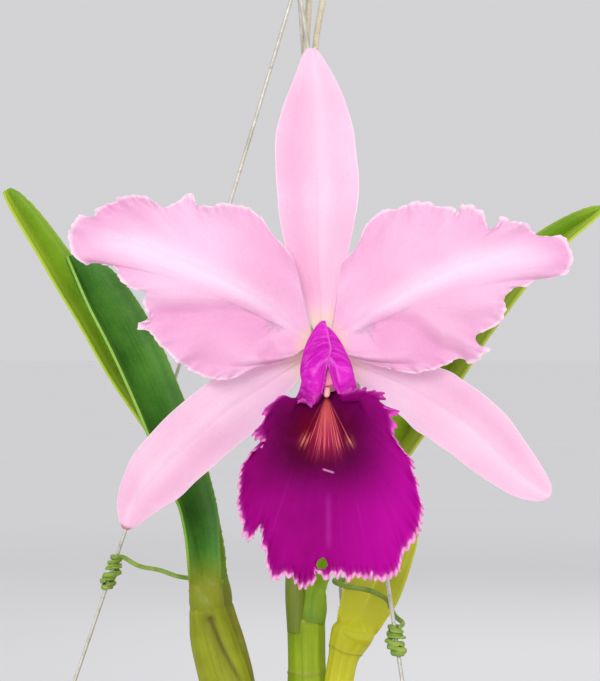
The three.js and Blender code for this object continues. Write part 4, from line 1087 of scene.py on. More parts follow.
# ---- leaves
# A leaf's lit half, painted lighter, is -1 for its left half, 1 for its right half and 0 for neither. Its rib
# is 1 where it is painted lighter than the blade as light and -1 where it is painted darker as shade. Below
# the height of its foot it has the young colour.
LEAVES = {
    "left_front": {
        "midrib": [[-31.2, -11.3, 179], [-33, -12, 195], [-38.2, -13, 213], [-45.5, -15, 229.5],
                   [-53.9, -16, 249.3], [-63.3, -17.5, 270.5], [-71, -18.5, 284.6], [-78.1, -18, 300]],
        "half_width": [[0, 4.6], [0.04, 5.2], [0.08, 5.6], [0.16, 7.6], [0.3, 12], [0.55, 15.5], [0.75, 14],
                       [0.9, 9], [0.97, 5], [1, 1.5]],
        "right_width": [[0, 4.6], [0.04, 5.3], [0.08, 5.7], [0.16, 8], [0.3, 13.5], [0.59, 18], [0.85, 17],
                        [0.92, 13.5], [0.955, 11], [0.98, 9], [1, 3]],
        "fold": [[0, 10], [0.25, 52], [1, 50]], "left_fold": [[0, 10], [0.2, 50], [0.35, 66], [1, 68]],
        "roll": [[0, 0], [0.1, -6], [0.25, -24], [1, -28]],
        "lit_half": 0, "rib": 1, "margins": (0.9, 0.15), "foot": 203,
        "colors": ((54, 112, 34), (88, 152, 50), (150, 200, 70), (134, 144, 14)),
    },
    "left_back": {
        "midrib": [[-28.4, 9, 178], [-31.2, 8, 198], [-37.2, 4, 216], [-47.2, -2, 239], [-60.8, -6, 259.5],
                   [-74.7, -8, 283.5], [-87.2, -9, 303.4], [-99.8, -8, 322.8]],
        "half_width": [[0, 4.2], [0.04, 4.8], [0.08, 5], [0.15, 6.4], [0.3, 10], [0.6, 10.8], [0.72, 9.6],
                       [0.83, 8.4], [0.93, 6.6], [0.98, 4.6], [1, 2.4]],
        "fold": [[0, 30], [0.3, 54], [1, 51]],
        "roll": [[0, -4], [0.3, -23], [1, -25]],
        "lit_half": -1, "rib": -1, "margins": (0.8, 0.1), "foot": 196,
        "colors": ((100, 144, 20), (136, 176, 30), (184, 208, 56), (128, 132, 20)),
    },
    "right": {
        "midrib": [[3.9, 1.2, 175], [5.4, 3.4, 188], [13.6, 7.5, 207.4], [22.5, 8, 221], [34.5, 8, 236],
                   [51.2, 8, 261], [61, 8, 276], [74, 7, 292.5], [88.8, 5, 306.6], [104.3, 3, 317.6]],
        "half_width": [[0, 4], [0.04, 4.5], [0.08, 4.9], [0.14, 6.5], [0.3, 11], [0.6, 14], [0.8, 11.5],
                       [0.93, 7.4], [0.98, 4.4], [1, 1.6]],
        "fold": [[0, 30], [0.25, 58], [1, 60]],
        "roll": [[0, 4], [0.3, 13], [1, 13]],
        "lit_half": 1, "rib": -1, "margins": (0.2, 0.6), "foot": 186,
        "colors": ((112, 158, 28), (150, 186, 38), (192, 210, 80), (104, 144, 26)),
    },
    "new_growth": {
        "midrib": [[17.8, -2.6, 170], [22.4, -3.4, 182], [28.5, -2, 195], [34.6, -2, 204], [41, -2, 211]],
        "half_width": [[0, 5.4], [0.08, 6.8], [0.16, 8.2], [0.3, 10.2], [0.5, 10], [0.75, 6.6], [1, 0.8]],
        "fold": [[0, 8], [0.5, 25], [1, 20]],
        "roll": [[0, 0], [1, 0]],
        "lit_half": 0, "rib": 1, "margins": (0.5, 0.5), "foot": 192,
        "colors": ((176, 186, 30), (206, 210, 44), (226, 228, 90), (208, 210, 40)),
    },
}


LEAF_CLASP = 0.1  # the share of a leaf over which its clasping foot opens into the blade
LEAF_FOOT_DEPTH = 0.8
LEAF_WRAP = 1.9  # how far round its bulb each half of the foot reaches


def leaf(name, midrib, half_width, fold, roll, lit_half, rib, margins, colors, foot,
         right_width=None, left_fold=None):
    rows, columns = 180, 61
    t = np.linspace(0, 1, rows)
    line, tangent = curve(midrib, t), heading(midrib, t)
    t = t[:, None]
    share = np.linspace(-1, 1, columns)[None]
    outer = np.abs(share)
    side = unit(np.cross(tangent, FRONT))
    face = unit(np.cross(side, tangent))
    turn = np.radians(through(roll)(t))
    across = side * np.cos(turn) + face * np.sin(turn)
    upward = face * np.cos(turn) - side * np.sin(turn)
    opening = np.radians(np.where(share < 0, through(left_fold or fold)(t), through(fold)(t)))
    seed = seed_of(name)
    width = np.where(share > 0, through(right_width or half_width)(t), through(half_width)(t))
    width = width * (1 + 0.012 * wobble(t, seed, 2, 7))
    width = width + 0.12 * smooth((outer - 0.8) / 0.2) * wobble(t, seed + 4, 30, 80)
    bend = np.sqrt(share**2 + 0.004) - 0.063
    curl = 0.06 * width * share**4
    reach = width * share * np.cos(opening) * (1 + 0.02 * np.sin(6 * math.pi * t) * outer)
    rise = width * bend * np.sin(opening) - curl + 0.25 * smooth(outer) * wobble(t, seed + 1, 1, 4)
    free = smooth((t - 0.3 * LEAF_CLASP) / LEAF_CLASP)
    wrap = share * LEAF_WRAP
    reach = reach * free + width * np.sin(wrap) * (1 - free)
    rise = rise * free + LEAF_FOOT_DEPTH * width * np.cos(wrap) * (1 - free)
    grid = line[:, None] + across[:, None] * reach[..., None] + upward[:, None] * rise[..., None]
    thickness = LEAF_THICK - (LEAF_THICK - LEAF_EDGE) * smooth((outer - 0.6) / 0.4)
    middle = bell(share, 0.06)
    # Painted light on the margins, the lit half and a light rib; painted shade near the margins and on a dark
    # rib.
    border = np.where(share > 0, margins[1], margins[0]) * smooth((outer - 0.9) / 0.08)
    lit = 0.5 * smooth(share * lit_half / 0.1) * smooth((t - 0.2) / 0.2)
    light = (rib > 0) * 0.8 * middle + border + lit
    shade = 0.4 * bell(outer - 0.84, 0.05) + (rib < 0) * 0.9 * middle
    shape = blade(grid, thickness, along=t, across=share, light=np.clip(light, 0, 1),
                  shade=np.clip(shade, 0, 1), young=smooth((foot - grid[..., 2]) / 15))
    slot = "young_leaf" if name == "new_growth" else "leaf"
    piece(f"blade_leaf_{name}", shape, leaf_paint(f"leaf_{name}", *colors), slot, f"leaf_{name}")


for name, parts in LEAVES.items():
    leaf(name, **parts)

# ---- sepals
SEPALS = {
    "dorsal_sepal": {
        "middle": [[0, 0.7, 4], [-0.3, 1.8, 15], [-1.2, 3.2, 29.5], [-1.4, 4.2, 42], [-1.2, 4.8, 51],
                   [-2.1, 5.2, 64], [-2.2, 5.2, 74], [-2.4, 4.8, 83.5], [-3.6, 3.8, 96]],
        "half_width": [[0, 2.2], [0.12, 5.5], [0.3, 11], [0.5, 13.3], [0.62, 13.1], [0.77, 11], [0.88, 7.6],
                       [0.96, 4], [0.985, 2.6], [1, 1.2]],
        "cup": 0.12, "lit_foot": 0,
    },
    "lateral_sepal_left": {
        "middle": [[-3.4, 0.7, -2.4], [-16.6, 2, -11.3], [-29.5, 3, -19.7], [-46.6, 4, -34.5],
                   [-54.3, 4, -43], [-59.4, 3, -50], [-63.2, 2, -58.5]],
        "half_width": [[0, 2.2], [0.15, 6.6], [0.35, 11], [0.6, 10.4], [0.77, 8], [0.9, 5.2], [0.97, 2.8],
                       [1, 0.8]],
        "cup": 0.1, "lit_foot": 0.7,
    },
    "lateral_sepal_right": {
        "middle": [[3.4, 0.7, -2.4], [18, 2, -8.7], [31.9, 3, -15.2], [40.3, 4, -20.4], [49.3, 4, -27],
                   [57.3, 4, -34.8], [65, 3, -42], [73.2, 2, -48]],
        "half_width": [[0, 2.2], [0.15, 6.6], [0.38, 11], [0.6, 10.6], [0.78, 8.4], [0.9, 6], [0.97, 3.6],
                       [1, 1.2]],
        "cup": 0.1, "lit_foot": 0.7,
    },
}


def sepal(name, middle, half_width, cup, lit_foot):
    rows, columns = 140, 45
    t = np.linspace(0, 1, rows)
    line, across = curve(middle, t), unit(np.cross(heading(middle, t), FRONT))
    t = t[:, None]
    share = np.linspace(-1, 1, columns)[None]
    outer = np.abs(share)
    seed = seed_of(name)
    width = through(half_width)(t)
    forward = cup * width * (share**2 - 0.4) - 0.3 * bell(share, 0.1) * smooth((1 - t) / 0.3)
    forward = forward + 0.35 * smooth(outer * 1.4) * wobble(t, seed, 1, 4)
    reach = width * share * (1 + 0.008 * wobble(t, seed + 1, 3, 9))
    grid = FLOWER + line[:, None] + across[:, None] * reach[..., None] + FRONT * forward[..., None]
    thickness = SEPAL_THICK - (SEPAL_THICK - PETAL_EDGE) * smooth((outer - 0.55) / 0.45)
    vein = 0.4 * bell(share - 0.16, 0.2) * smooth(t / 0.3)
    blush = 0.35 * bell(share + 0.55, 0.3) * smooth((1 - t) / 0.3)
    blush = blush + 0.2 * bell(share, 0.04) * smooth((0.8 - t) / 0.6)
    # The vein mark also lays painted light on the feet of the lateral sepals.
    shape = blade(grid, thickness, along=t, across=0.5 * share,
                  vein=np.maximum(vein, lit_foot * smooth((0.5 - t) / 0.35)),
                  blush=np.clip(blush, 0, 1), rim=smooth((outer - 0.95) / 0.05),
                  heart=0.8 * smooth((0.14 - t) / 0.12),
                  tip=0.9 * smooth((t - 0.975) / 0.02) * (name == "lateral_sepal_left"))
    piece(f"flesh_{name}", shape, sepal_skin, "petal", name)


sepal_skin = petal_paint("sepal_skin", (247, 190, 220), (253, 206, 231))
for name, parts in SEPALS.items():
    sepal(name, **parts)

# ---- petals
# Each margin runs from the claw's upper side round the petal to its lower side, as [across, up] from the
# flower's centre. A crease is a line below which the petal lies further back by a step and is painted darker
# as shade. The heart is the way the claw points, in degrees round from the right.
PETAL_CLAW = 3.6
PETAL_CLAW_SPREAD = 0.35
PETAL_VEIN_LEAN = 0.3  # how much nearer to the claw than the margin a side vein leaves the midvein
PETAL_VEIN_CLEAR = 0.12  # the share of the way to the margin that side veins stand clear of the midvein
PETAL_RUFFLE = 1.7
PETAL_SEAT = 1
PETAL_ARCH = 5
PETAL_DROOP = 2
PETAL_CROWN = 1.5
PETAL_WAVES = 7
PETAL_RIPPLES = [  # height, where they start, over how much they grow, seed, and fewest and most turns
    (0.7, 0.8, 0.2, 1, 14, 26), (0.4, 0.9, 0.1, 2, 30, 50), (0.2, 0.95, 0.05, 7, 50, 90)]
PETAL_EASINGS = 200  # rounds in which crowded points of the grid are eased apart
PETAL_SETTLING = [[0.5, 36], [0.72, 18], [0.86, 9], [0.93, 4.5], [0.97, 2], [1, 0]]
PETALS = {
    "left": {
        "heart": 158, "seed": 11,
        "margin": [[-9, 28], [-12, 32], [-16, 36], [-19, 41], [-23, 44], [-28.5, 45.5], [-36.5, 44.8],
                   [-40.5, 45], [-41, 48.5], [-44, 48], [-50, 44], [-52, 45], [-56.5, 48], [-61.5, 48],
                   [-65, 47.5], [-67, 46], [-71, 45], [-73, 41.3], [-77.5, 41.5], [-80.5, 34.5],
                   [-79.5, 30], [-75, 26], [-72.5, 27.5], [-69.5, 26], [-66.5, 26.5], [-65, 23],
                   [-62.5, 19.5], [-59, 18], [-56, 18], [-56.5, 15.5], [-56.5, 12.5], [-55, 8], [-59, 7.5],
                   [-58.5, 5.5], [-56, 5.5], [-54.5, 4], [-50.5, -0.5], [-45, -5.5], [-39.5, -9],
                   [-34, -10.5], [-28.5, -10], [-23, -7.5], [-17.5, -6], [-12, -4.5], [-8, -2.5]],
        "creases": [
            {"line": [[-60, 12], [-50, 13.4], [-38.8, 13.8], [-23.2, 13.6], [-15, 9.2],
                      [-9.5, 3.8]], "step": 2.2},
            {"line": [[-22, -3.5], [-15, 2.8]], "step": 0.8},
        ],
        "vein": [[-78, 35], [-61.4, 32.4], [-45, 26.7], [-31, 20.6], [-17.5, 12.7], [-5, 3]],
    },
    "right": {
        "heart": 22, "seed": 17,
        "margin": [[6.5, 27], [9, 29.5], [12, 33], [13, 37], [15.5, 40.5], [19.5, 43.5], [24.5, 44],
                   [28.5, 46], [34.5, 46], [39, 44.5], [41.5, 44.5], [43.5, 42], [44, 45], [48.5, 44.5],
                   [51.5, 42], [53, 36.5], [56.5, 39.5], [56.5, 41.5], [60.5, 40], [65.5, 39], [68.5, 35.5],
                   [73, 35], [76, 35.5], [78.5, 32], [79.5, 27.5], [77.5, 23], [75, 22.5], [72.5, 21.5],
                   [69.5, 22], [67.5, 21], [65, 19], [62, 19.5], [61, 18], [58.5, 17], [58, 14.5], [58, 11],
                   [57.5, 8.5], [54, 6], [48.5, 3], [49.5, 0], [53, -0.5], [51.5, -2.5], [47, -5.5],
                   [45, -3.5], [38, -6.5], [34.5, -7.5], [29.5, -8.5], [23.5, -7.5], [17.5, -6],
                   [9.5, -3.5], [8, -2.5]],
        "creases": [
            {"line": [[42.3, -3.6], [39.2, -1], [34.4, 5.7], [27.7, 10.1], [20.4, 10.4], [13.1, 7.9],
                      [6.7, 2.5]],
             "step": 1.8},
        ],
        "vein": [[76, 31], [60, 29.5], [45, 25.5], [31, 19.5], [17.5, 12], [5, 3]],
    },
}


def bearing(x, z):
    """The way to points from the flower's centre, in radians from -90 to 270 degrees."""
    angle = np.arctan2(z, x)
    return np.where(angle < -math.pi / 2, angle + 2 * math.pi, angle)


def petal(side, heart, seed, margin, creases, vein):
    rows, columns = 66, 560
    u = 1 - (1 - np.linspace(0, 1, rows)[:, None]) ** 1.3
    v = np.linspace(0, 1, columns)
    edge = curve(margin, evenly(margin, columns))
    teeth = 0.3 * wobble(v, seed, 25, 60) + 0.16 * wobble(v, seed + 6, 60, 120)
    teeth = teeth - 0.9 * smooth((wobble(v, seed + 3, 20, 50) - 0.7) / 0.9)
    edge = edge + (teeth * smooth(12 * np.minimum(v, 1 - v)))[:, None] * unit(edge)
    even = evened(edge, PETAL_SETTLING[0][1])
    angle = bearing(*even.T)
    start = math.radians(heart) + PETAL_CLAW_SPREAD * (angle - math.radians(heart))
    claw = PETAL_CLAW * np.stack([np.cos(start), np.sin(start)], axis=-1)
    place = beside(even[:, 0], even[:, 1], vein)[1]
    place = evened((place + PETAL_VEIN_LEAN * (1 - place))[:, None], 20)[:, 0]
    knee = curve(vein, place)
    beside_claw = smooth(np.minimum(v, 1 - v) / 0.2)[:, None]
    knee = knee + PETAL_VEIN_CLEAR * (even - knee)
    knee = (claw + even) / 2 * (1 - beside_claw) + knee * beside_claw
    plan = (1 - u)[..., None] ** 2 * claw + (2 * u * (1 - u))[..., None] * knee + (u**2)[..., None] * even
    plan = relaxed(plan + settled(edge, PETAL_SETTLING, u[:, 0]) - even, PETAL_EASINGS)
    x, z = plan[..., 0], plan[..., 1]
    order = np.argsort(angle)
    headings = np.linspace(angle.min(), angle.max(), 200)
    reaches = evened(np.interp(headings, angle[order], np.hypot(*even.T)[order])[:, None], 9)[:, 0]
    centre_gap = np.hypot(x, z)
    out = centre_gap / np.interp(bearing(x, z), headings, reaches)
    arch = PETAL_ARCH * smooth(out / 0.6) - PETAL_DROOP * smooth((out - 0.6) / 0.4)
    rise = PETAL_SEAT + arch + PETAL_CROWN * smooth(out / 0.5) * np.sin(math.pi * v)
    ends = smooth(6 * np.minimum(v, 1 - v))
    w = share_along(even)
    wave = np.sin(2 * math.pi * PETAL_WAVES * w + 1.5 * wobble(w, seed + 8, 1, 4))
    rise = rise + PETAL_RUFFLE * smooth((u - 0.5) / 0.5) ** 1.5 * ends * wave
    for height, begin, grow, offset, fewest, most in PETAL_RIPPLES:
        rise = rise + height * smooth((u - begin) / grow) * ends * wobble(w, seed + offset, fewest, most)
    low = 0
    for crease in creases:
        gap, place = beside(x, z, curve(crease["line"], np.linspace(0, 1, 20)))
        gap = gap if side == "left" else -gap
        fade = smooth(place / 0.25) * smooth((1 - place) / 0.25) * smooth((centre_gap - 6) / 12)
        rise = rise - crease["step"] * fade * (smooth((gap + 2.5) / 5.5) - smooth((gap - 3) / 18))
        # Painted shade on the petal below the crease.
        low = low + 0.8 * fade * smooth((gap + 2.2) / 4.5) * (1 - 0.55 * smooth((gap - 4) / 14))
    rib_gap, rib_place = beside(x, z, vein)
    rib = bell(rib_gap, 2.2 + 3.4 * (1 - rib_place)) * smooth((1 - u) / 0.35)
    rise = rise - 0.7 * bell(rib_gap, 1.6) * smooth(rib_place / 0.2)
    grid = FLOWER + np.stack([x, -rise, z], axis=-1)
    thickness = PETAL_THICK - (PETAL_THICK - PETAL_EDGE) * smooth((u - 0.75) / 0.25)
    far = smooth((centre_gap - 60) / 24)
    inner = smooth((z - 14) / 14) * smooth((30 - np.abs(x)) / 20)
    border = smooth((u - 0.78) / 0.16) * (0.5 + 0.5 * wobble(v, seed + 9, 3, 8))
    # Painted shade below the creases, and deeper pink towards the far end, the margin and the upper inner
    # edge.
    blush = 0.8 * low + (0.4 * far + 0.2 * border) * (1 - rib) + 0.5 * inner
    shape = blade(grid, thickness, along=u, across=v, vein=rib * (0.35 + 0.65 * smooth(u / 0.4)),
                  blush=np.clip(blush, 0, 1), rim=smooth((u - 0.98) / 0.02),
                  heart=smooth((11 - centre_gap) / 8))
    piece(f"flesh_petal_{side}", shape, petal_skin, "petal", f"petal_{side}")


petal_skin = petal_paint("petal_skin", (243, 180, 216), (249, 195, 227))
for name, parts in PETALS.items():
    petal(name, **parts)

# ---- lip
# Ovals of the tube from claw to mouth: the highest and lowest point of each, and half its width.
LIP_RINGS = [
    {"top": [0.2, -2.5, 5.2], "bottom": [0, -2.3, -4.6], "half_width": 4.4},
    {"top": [0.5, -6.5, 7.1], "bottom": [0.2, -9, -9], "half_width": 6},
    {"top": [1.6, -14, 1.8], "bottom": [0.8, -17.5, -13.5], "half_width": 8.2},
    {"top": [2.2, -19, -2], "bottom": [1.4, -25, -17], "half_width": 8.4},
]
LIP_WRAP = 187  # each side lobe reaches this many degrees from the lip's middle, past the other
LIP_LAP = 0.75
LIP_POINT = 0.5  # how far the hood narrows towards its top
# The free margin as [across, back, up] from the flower's centre: from the left side lobe's corner over the
# column, round the front lobe, to the right side lobe's corner.
LIP_MARGIN = [
    [1.5, -22.8, -5.6], [1, -24.4, -8], [0.7, -26, -10.4], [0.2, -27.3, -12.8], [-0.5, -28.6, -14.6],
    [-1.9, -29.4, -14], [-2.8, -29.8, -15.4], [-2.9, -30.2, -17], [-3, -30.6, -18.4], [-4.2, -30.4, -18.2],
    [-5, -30, -16.7], [-6.2, -30, -15.8], [-7.9, -30, -16.7], [-9, -30.2, -18.3], [-10.1, -30.2, -16],
    [-11.9, -31.2, -14.9], [-13.4, -32, -15.2], [-14.7, -32.8, -16.6], [-16.8, -33.6, -18.1],
    [-18, -34, -19.1], [-18.5, -34.4, -20.5], [-17.9, -34.8, -22], [-18.8, -35.2, -24],
    [-20.6, -35.6, -25.3], [-21.2, -36, -26.9], [-20.1, -36.4, -28.5], [-18.4, -36.6, -29],
    [-18.1, -36.8, -30.3], [-20.4, -37, -31.1], [-22.2, -36.6, -32.1], [-23.3, -37.6, -34.5],
    [-24.8, -38.2, -36.1], [-25.1, -38.8, -38.2], [-25.6, -39.4, -40.3], [-26.1, -39.8, -42.1],
    [-25.6, -40.4, -44.2], [-25.9, -41, -46.6], [-25.7, -41.8, -49.2], [-25.3, -42.4, -51.9],
    [-24.3, -42.8, -54.3], [-24.3, -43, -56.1], [-22.8, -43.2, -57.9], [-21.3, -43.4, -57.7],
    [-20.3, -43.3, -55.4], [-19.2, -43.4, -55], [-18.3, -43.8, -57.5], [-18.7, -44.2, -59.6],
    [-17.5, -44.6, -61.5], [-17.1, -45, -63.4], [-17.5, -45.3, -65.2], [-16.2, -45.7, -67.6],
    [-15, -46.1, -70.1], [-13.3, -46.3, -69.3], [-11.2, -46.5, -69], [-9.3, -46.7, -69.7],
    [-7.6, -46.9, -71.6], [-6.4, -47, -72.2], [-4.3, -47, -71.3], [-2.2, -47, -70.1], [-2.7, -46.9, -68.3],
    [-1.9, -46.9, -67.3], [-0.3, -47, -68.9], [1.2, -47.1, -69.8], [2, -47, -68.2], [3.2, -47, -67.7],
    [4.1, -47.1, -69.4], [5.3, -47, -68], [6.5, -47, -69.4], [7.7, -47, -70.7], [9.2, -46.9, -68.9],
    [11.6, -46.8, -69], [13.7, -46.7, -69.6], [14.9, -46.5, -68.4], [15.7, -46.5, -70.3],
    [17.9, -46.2, -70.4], [20.3, -45.8, -69.2], [22.6, -45.4, -67.4], [23.5, -44.9, -64.9],
    [24.3, -44.4, -62.1], [26.1, -43.8, -59.9], [27.8, -43.5, -58.3], [28.9, -43, -55.5],
    [29.8, -42.4, -52.8], [30.3, -41.8, -49.8], [30, -41.2, -47.4], [29.2, -40.6, -45.1], [29, -40, -42.7],
    [28.6, -39.4, -40.3], [27.4, -38.9, -38.4], [27.9, -38.3, -36.4], [26.9, -37.6, -34],
    [25.4, -37, -32.7], [24.1, -36.5, -31.2], [22.9, -35.8, -29.1], [21.7, -35.1, -27.1],
    [21.8, -34.6, -25.8], [22.9, -34, -24.4], [21.4, -33.4, -22.5], [20.4, -33, -21.4],
    [22.4, -32.6, -20.7], [23.2, -32.3, -19.4], [20.9, -32, -19.3], [18.4, -31.6, -18.7],
    [17.1, -31.2, -17], [18.5, -31, -15.9], [18.6, -30.8, -14.4], [16.6, -30.6, -13.5],
    [14.2, -30.4, -13.4], [12.3, -30.2, -12.7], [10.4, -30, -13.4], [8.5, -29.7, -12.8],
    [6.7, -29.3, -13.5], [5, -28.8, -14.4], [3.8, -27.6, -12.6], [3, -26.2, -10.3], [2.3, -24.6, -7.9],
    [1.7, -22.6, -5.6],
]
# [point of the margin, rib of the tube it belongs to]: -1 and 1 meet over the column, 0 is the lip's middle.
LIP_TURNS = [[0, -1], [4, -0.78], [11, -0.62], [29, -0.42], [64, 0], [96, 0.42], [108, 0.62], [112, 0.78],
             [116, 1]]
LIP_SETTLING = [[0.5, 52], [0.66, 34], [0.8, 19], [0.9, 9.5], [0.95, 4.5], [0.98, 2], [1, 0]]
LIP_TUBE_ROWS = 15
LIP_FLARE_ROWS = 42
LIP_COLUMNS = 840
LIP_WAVES = 24
LIP_FINE_WAVES = 112
LIP_FRILL = 1.0
LIP_RIM_SPAN = 30  # where the lip flares less far than this, its pale rim takes a larger share
LIP_FINE_FRILL = 0.8
THROAT_SHARE = 0.42
THROAT_PUSH = 5
THROAT_DROP = 1.5
CHEEK_SHARE = 0.2  # at the tube's sides the lip stays a tube until it flares abruptly
CHEEK_PUSH = 5.5
CHEEK_DROP = 3.6
CHEEK_TOP = -16.4  # the cheeks turn outward no higher than this beside the hood
LIP_HOLE = np.array([-0.3, -65.2])  # a small hole in the front lobe
LIP_HOLE_RADIUS = 1.9
LIP_HOLE_CORE = 0.9  # as near as this to its middle, cells are left out
LIP_HOLE_PUSH = 8  # how far round it points are pushed outward
BRUSH_ROOT = np.array([1.2, -14.6])  # where the coral hairs fan out from
# Pale lines on the hood, as [across, up] from the flower's centre.
HOOD_BRANCHES = [[[2.2, -3.8], [-0.8, -5.4], [-2.6, -7.8], [-3.6, -11]],
                 [[2.4, -4.2], [4, -6.4], [5.1, -9.4], [5.6, -12.8]]]


def lip_ring(ring, turn):
    high, low = np.array(ring["top"], float), np.array(ring["bottom"], float)
    angle = np.radians(turn * LIP_WRAP)[:, None]
    pointed = 1 - LIP_POINT * ((1 - np.cos(angle)) / 2) ** 2.5
    out = -(high - low) / 2 * np.cos(angle) + np.array([ring["half_width"], 0, 0]) * np.sin(angle) * pointed
    lap = -LIP_LAP * np.sign(turn) * smooth((np.abs(turn) - 0.6) / 0.35)
    length = np.linalg.norm(out, axis=1)
    return (high + low) / 2 + out * ((length + lap) / length)[:, None]


def lip_ribs():
    """The lip's smooth ribs from claw to margin, the real margin, how freely it departs, and their turns."""
    v = np.linspace(0, 1, LIP_COLUMNS)
    places = evenly(LIP_MARGIN, LIP_COLUMNS)
    turn = through(LIP_TURNS)(places * (len(LIP_MARGIN) - 1))
    low = (0.5 + 0.5 * np.cos(turn * math.pi))[:, None]
    cheek = (smooth((np.abs(turn) - 0.22) / 0.25) * smooth((0.92 - np.abs(turn)) / 0.2))[:, None]
    side = smooth((np.abs(turn) - 0.48) / 0.1) * smooth((0.92 - np.abs(turn)) / 0.2)
    rings = [lip_ring(ring, turn) for ring in LIP_RINGS]
    margin = curve(LIP_MARGIN, places)
    loose = smooth(np.minimum(v, 1 - v) / 0.06)[:, None]
    even = margin + (evened(margin, LIP_SETTLING[0][1]) - margin) * loose
    share = THROAT_SHARE + (CHEEK_SHARE - THROAT_SHARE) * cheek
    throat = rings[-1] + (even - rings[-1]) * share
    throat = throat + low * (1 - cheek) * (THROAT_PUSH * FRONT - THROAT_DROP * UP)
    throat = throat + cheek * (CHEEK_PUSH * FRONT - CHEEK_DROP * UP)
    throat[:, 2] += side * np.minimum(CHEEK_TOP - throat[:, 2], 0)
    return np.array(rings + [throat, even]), margin, loose, turn


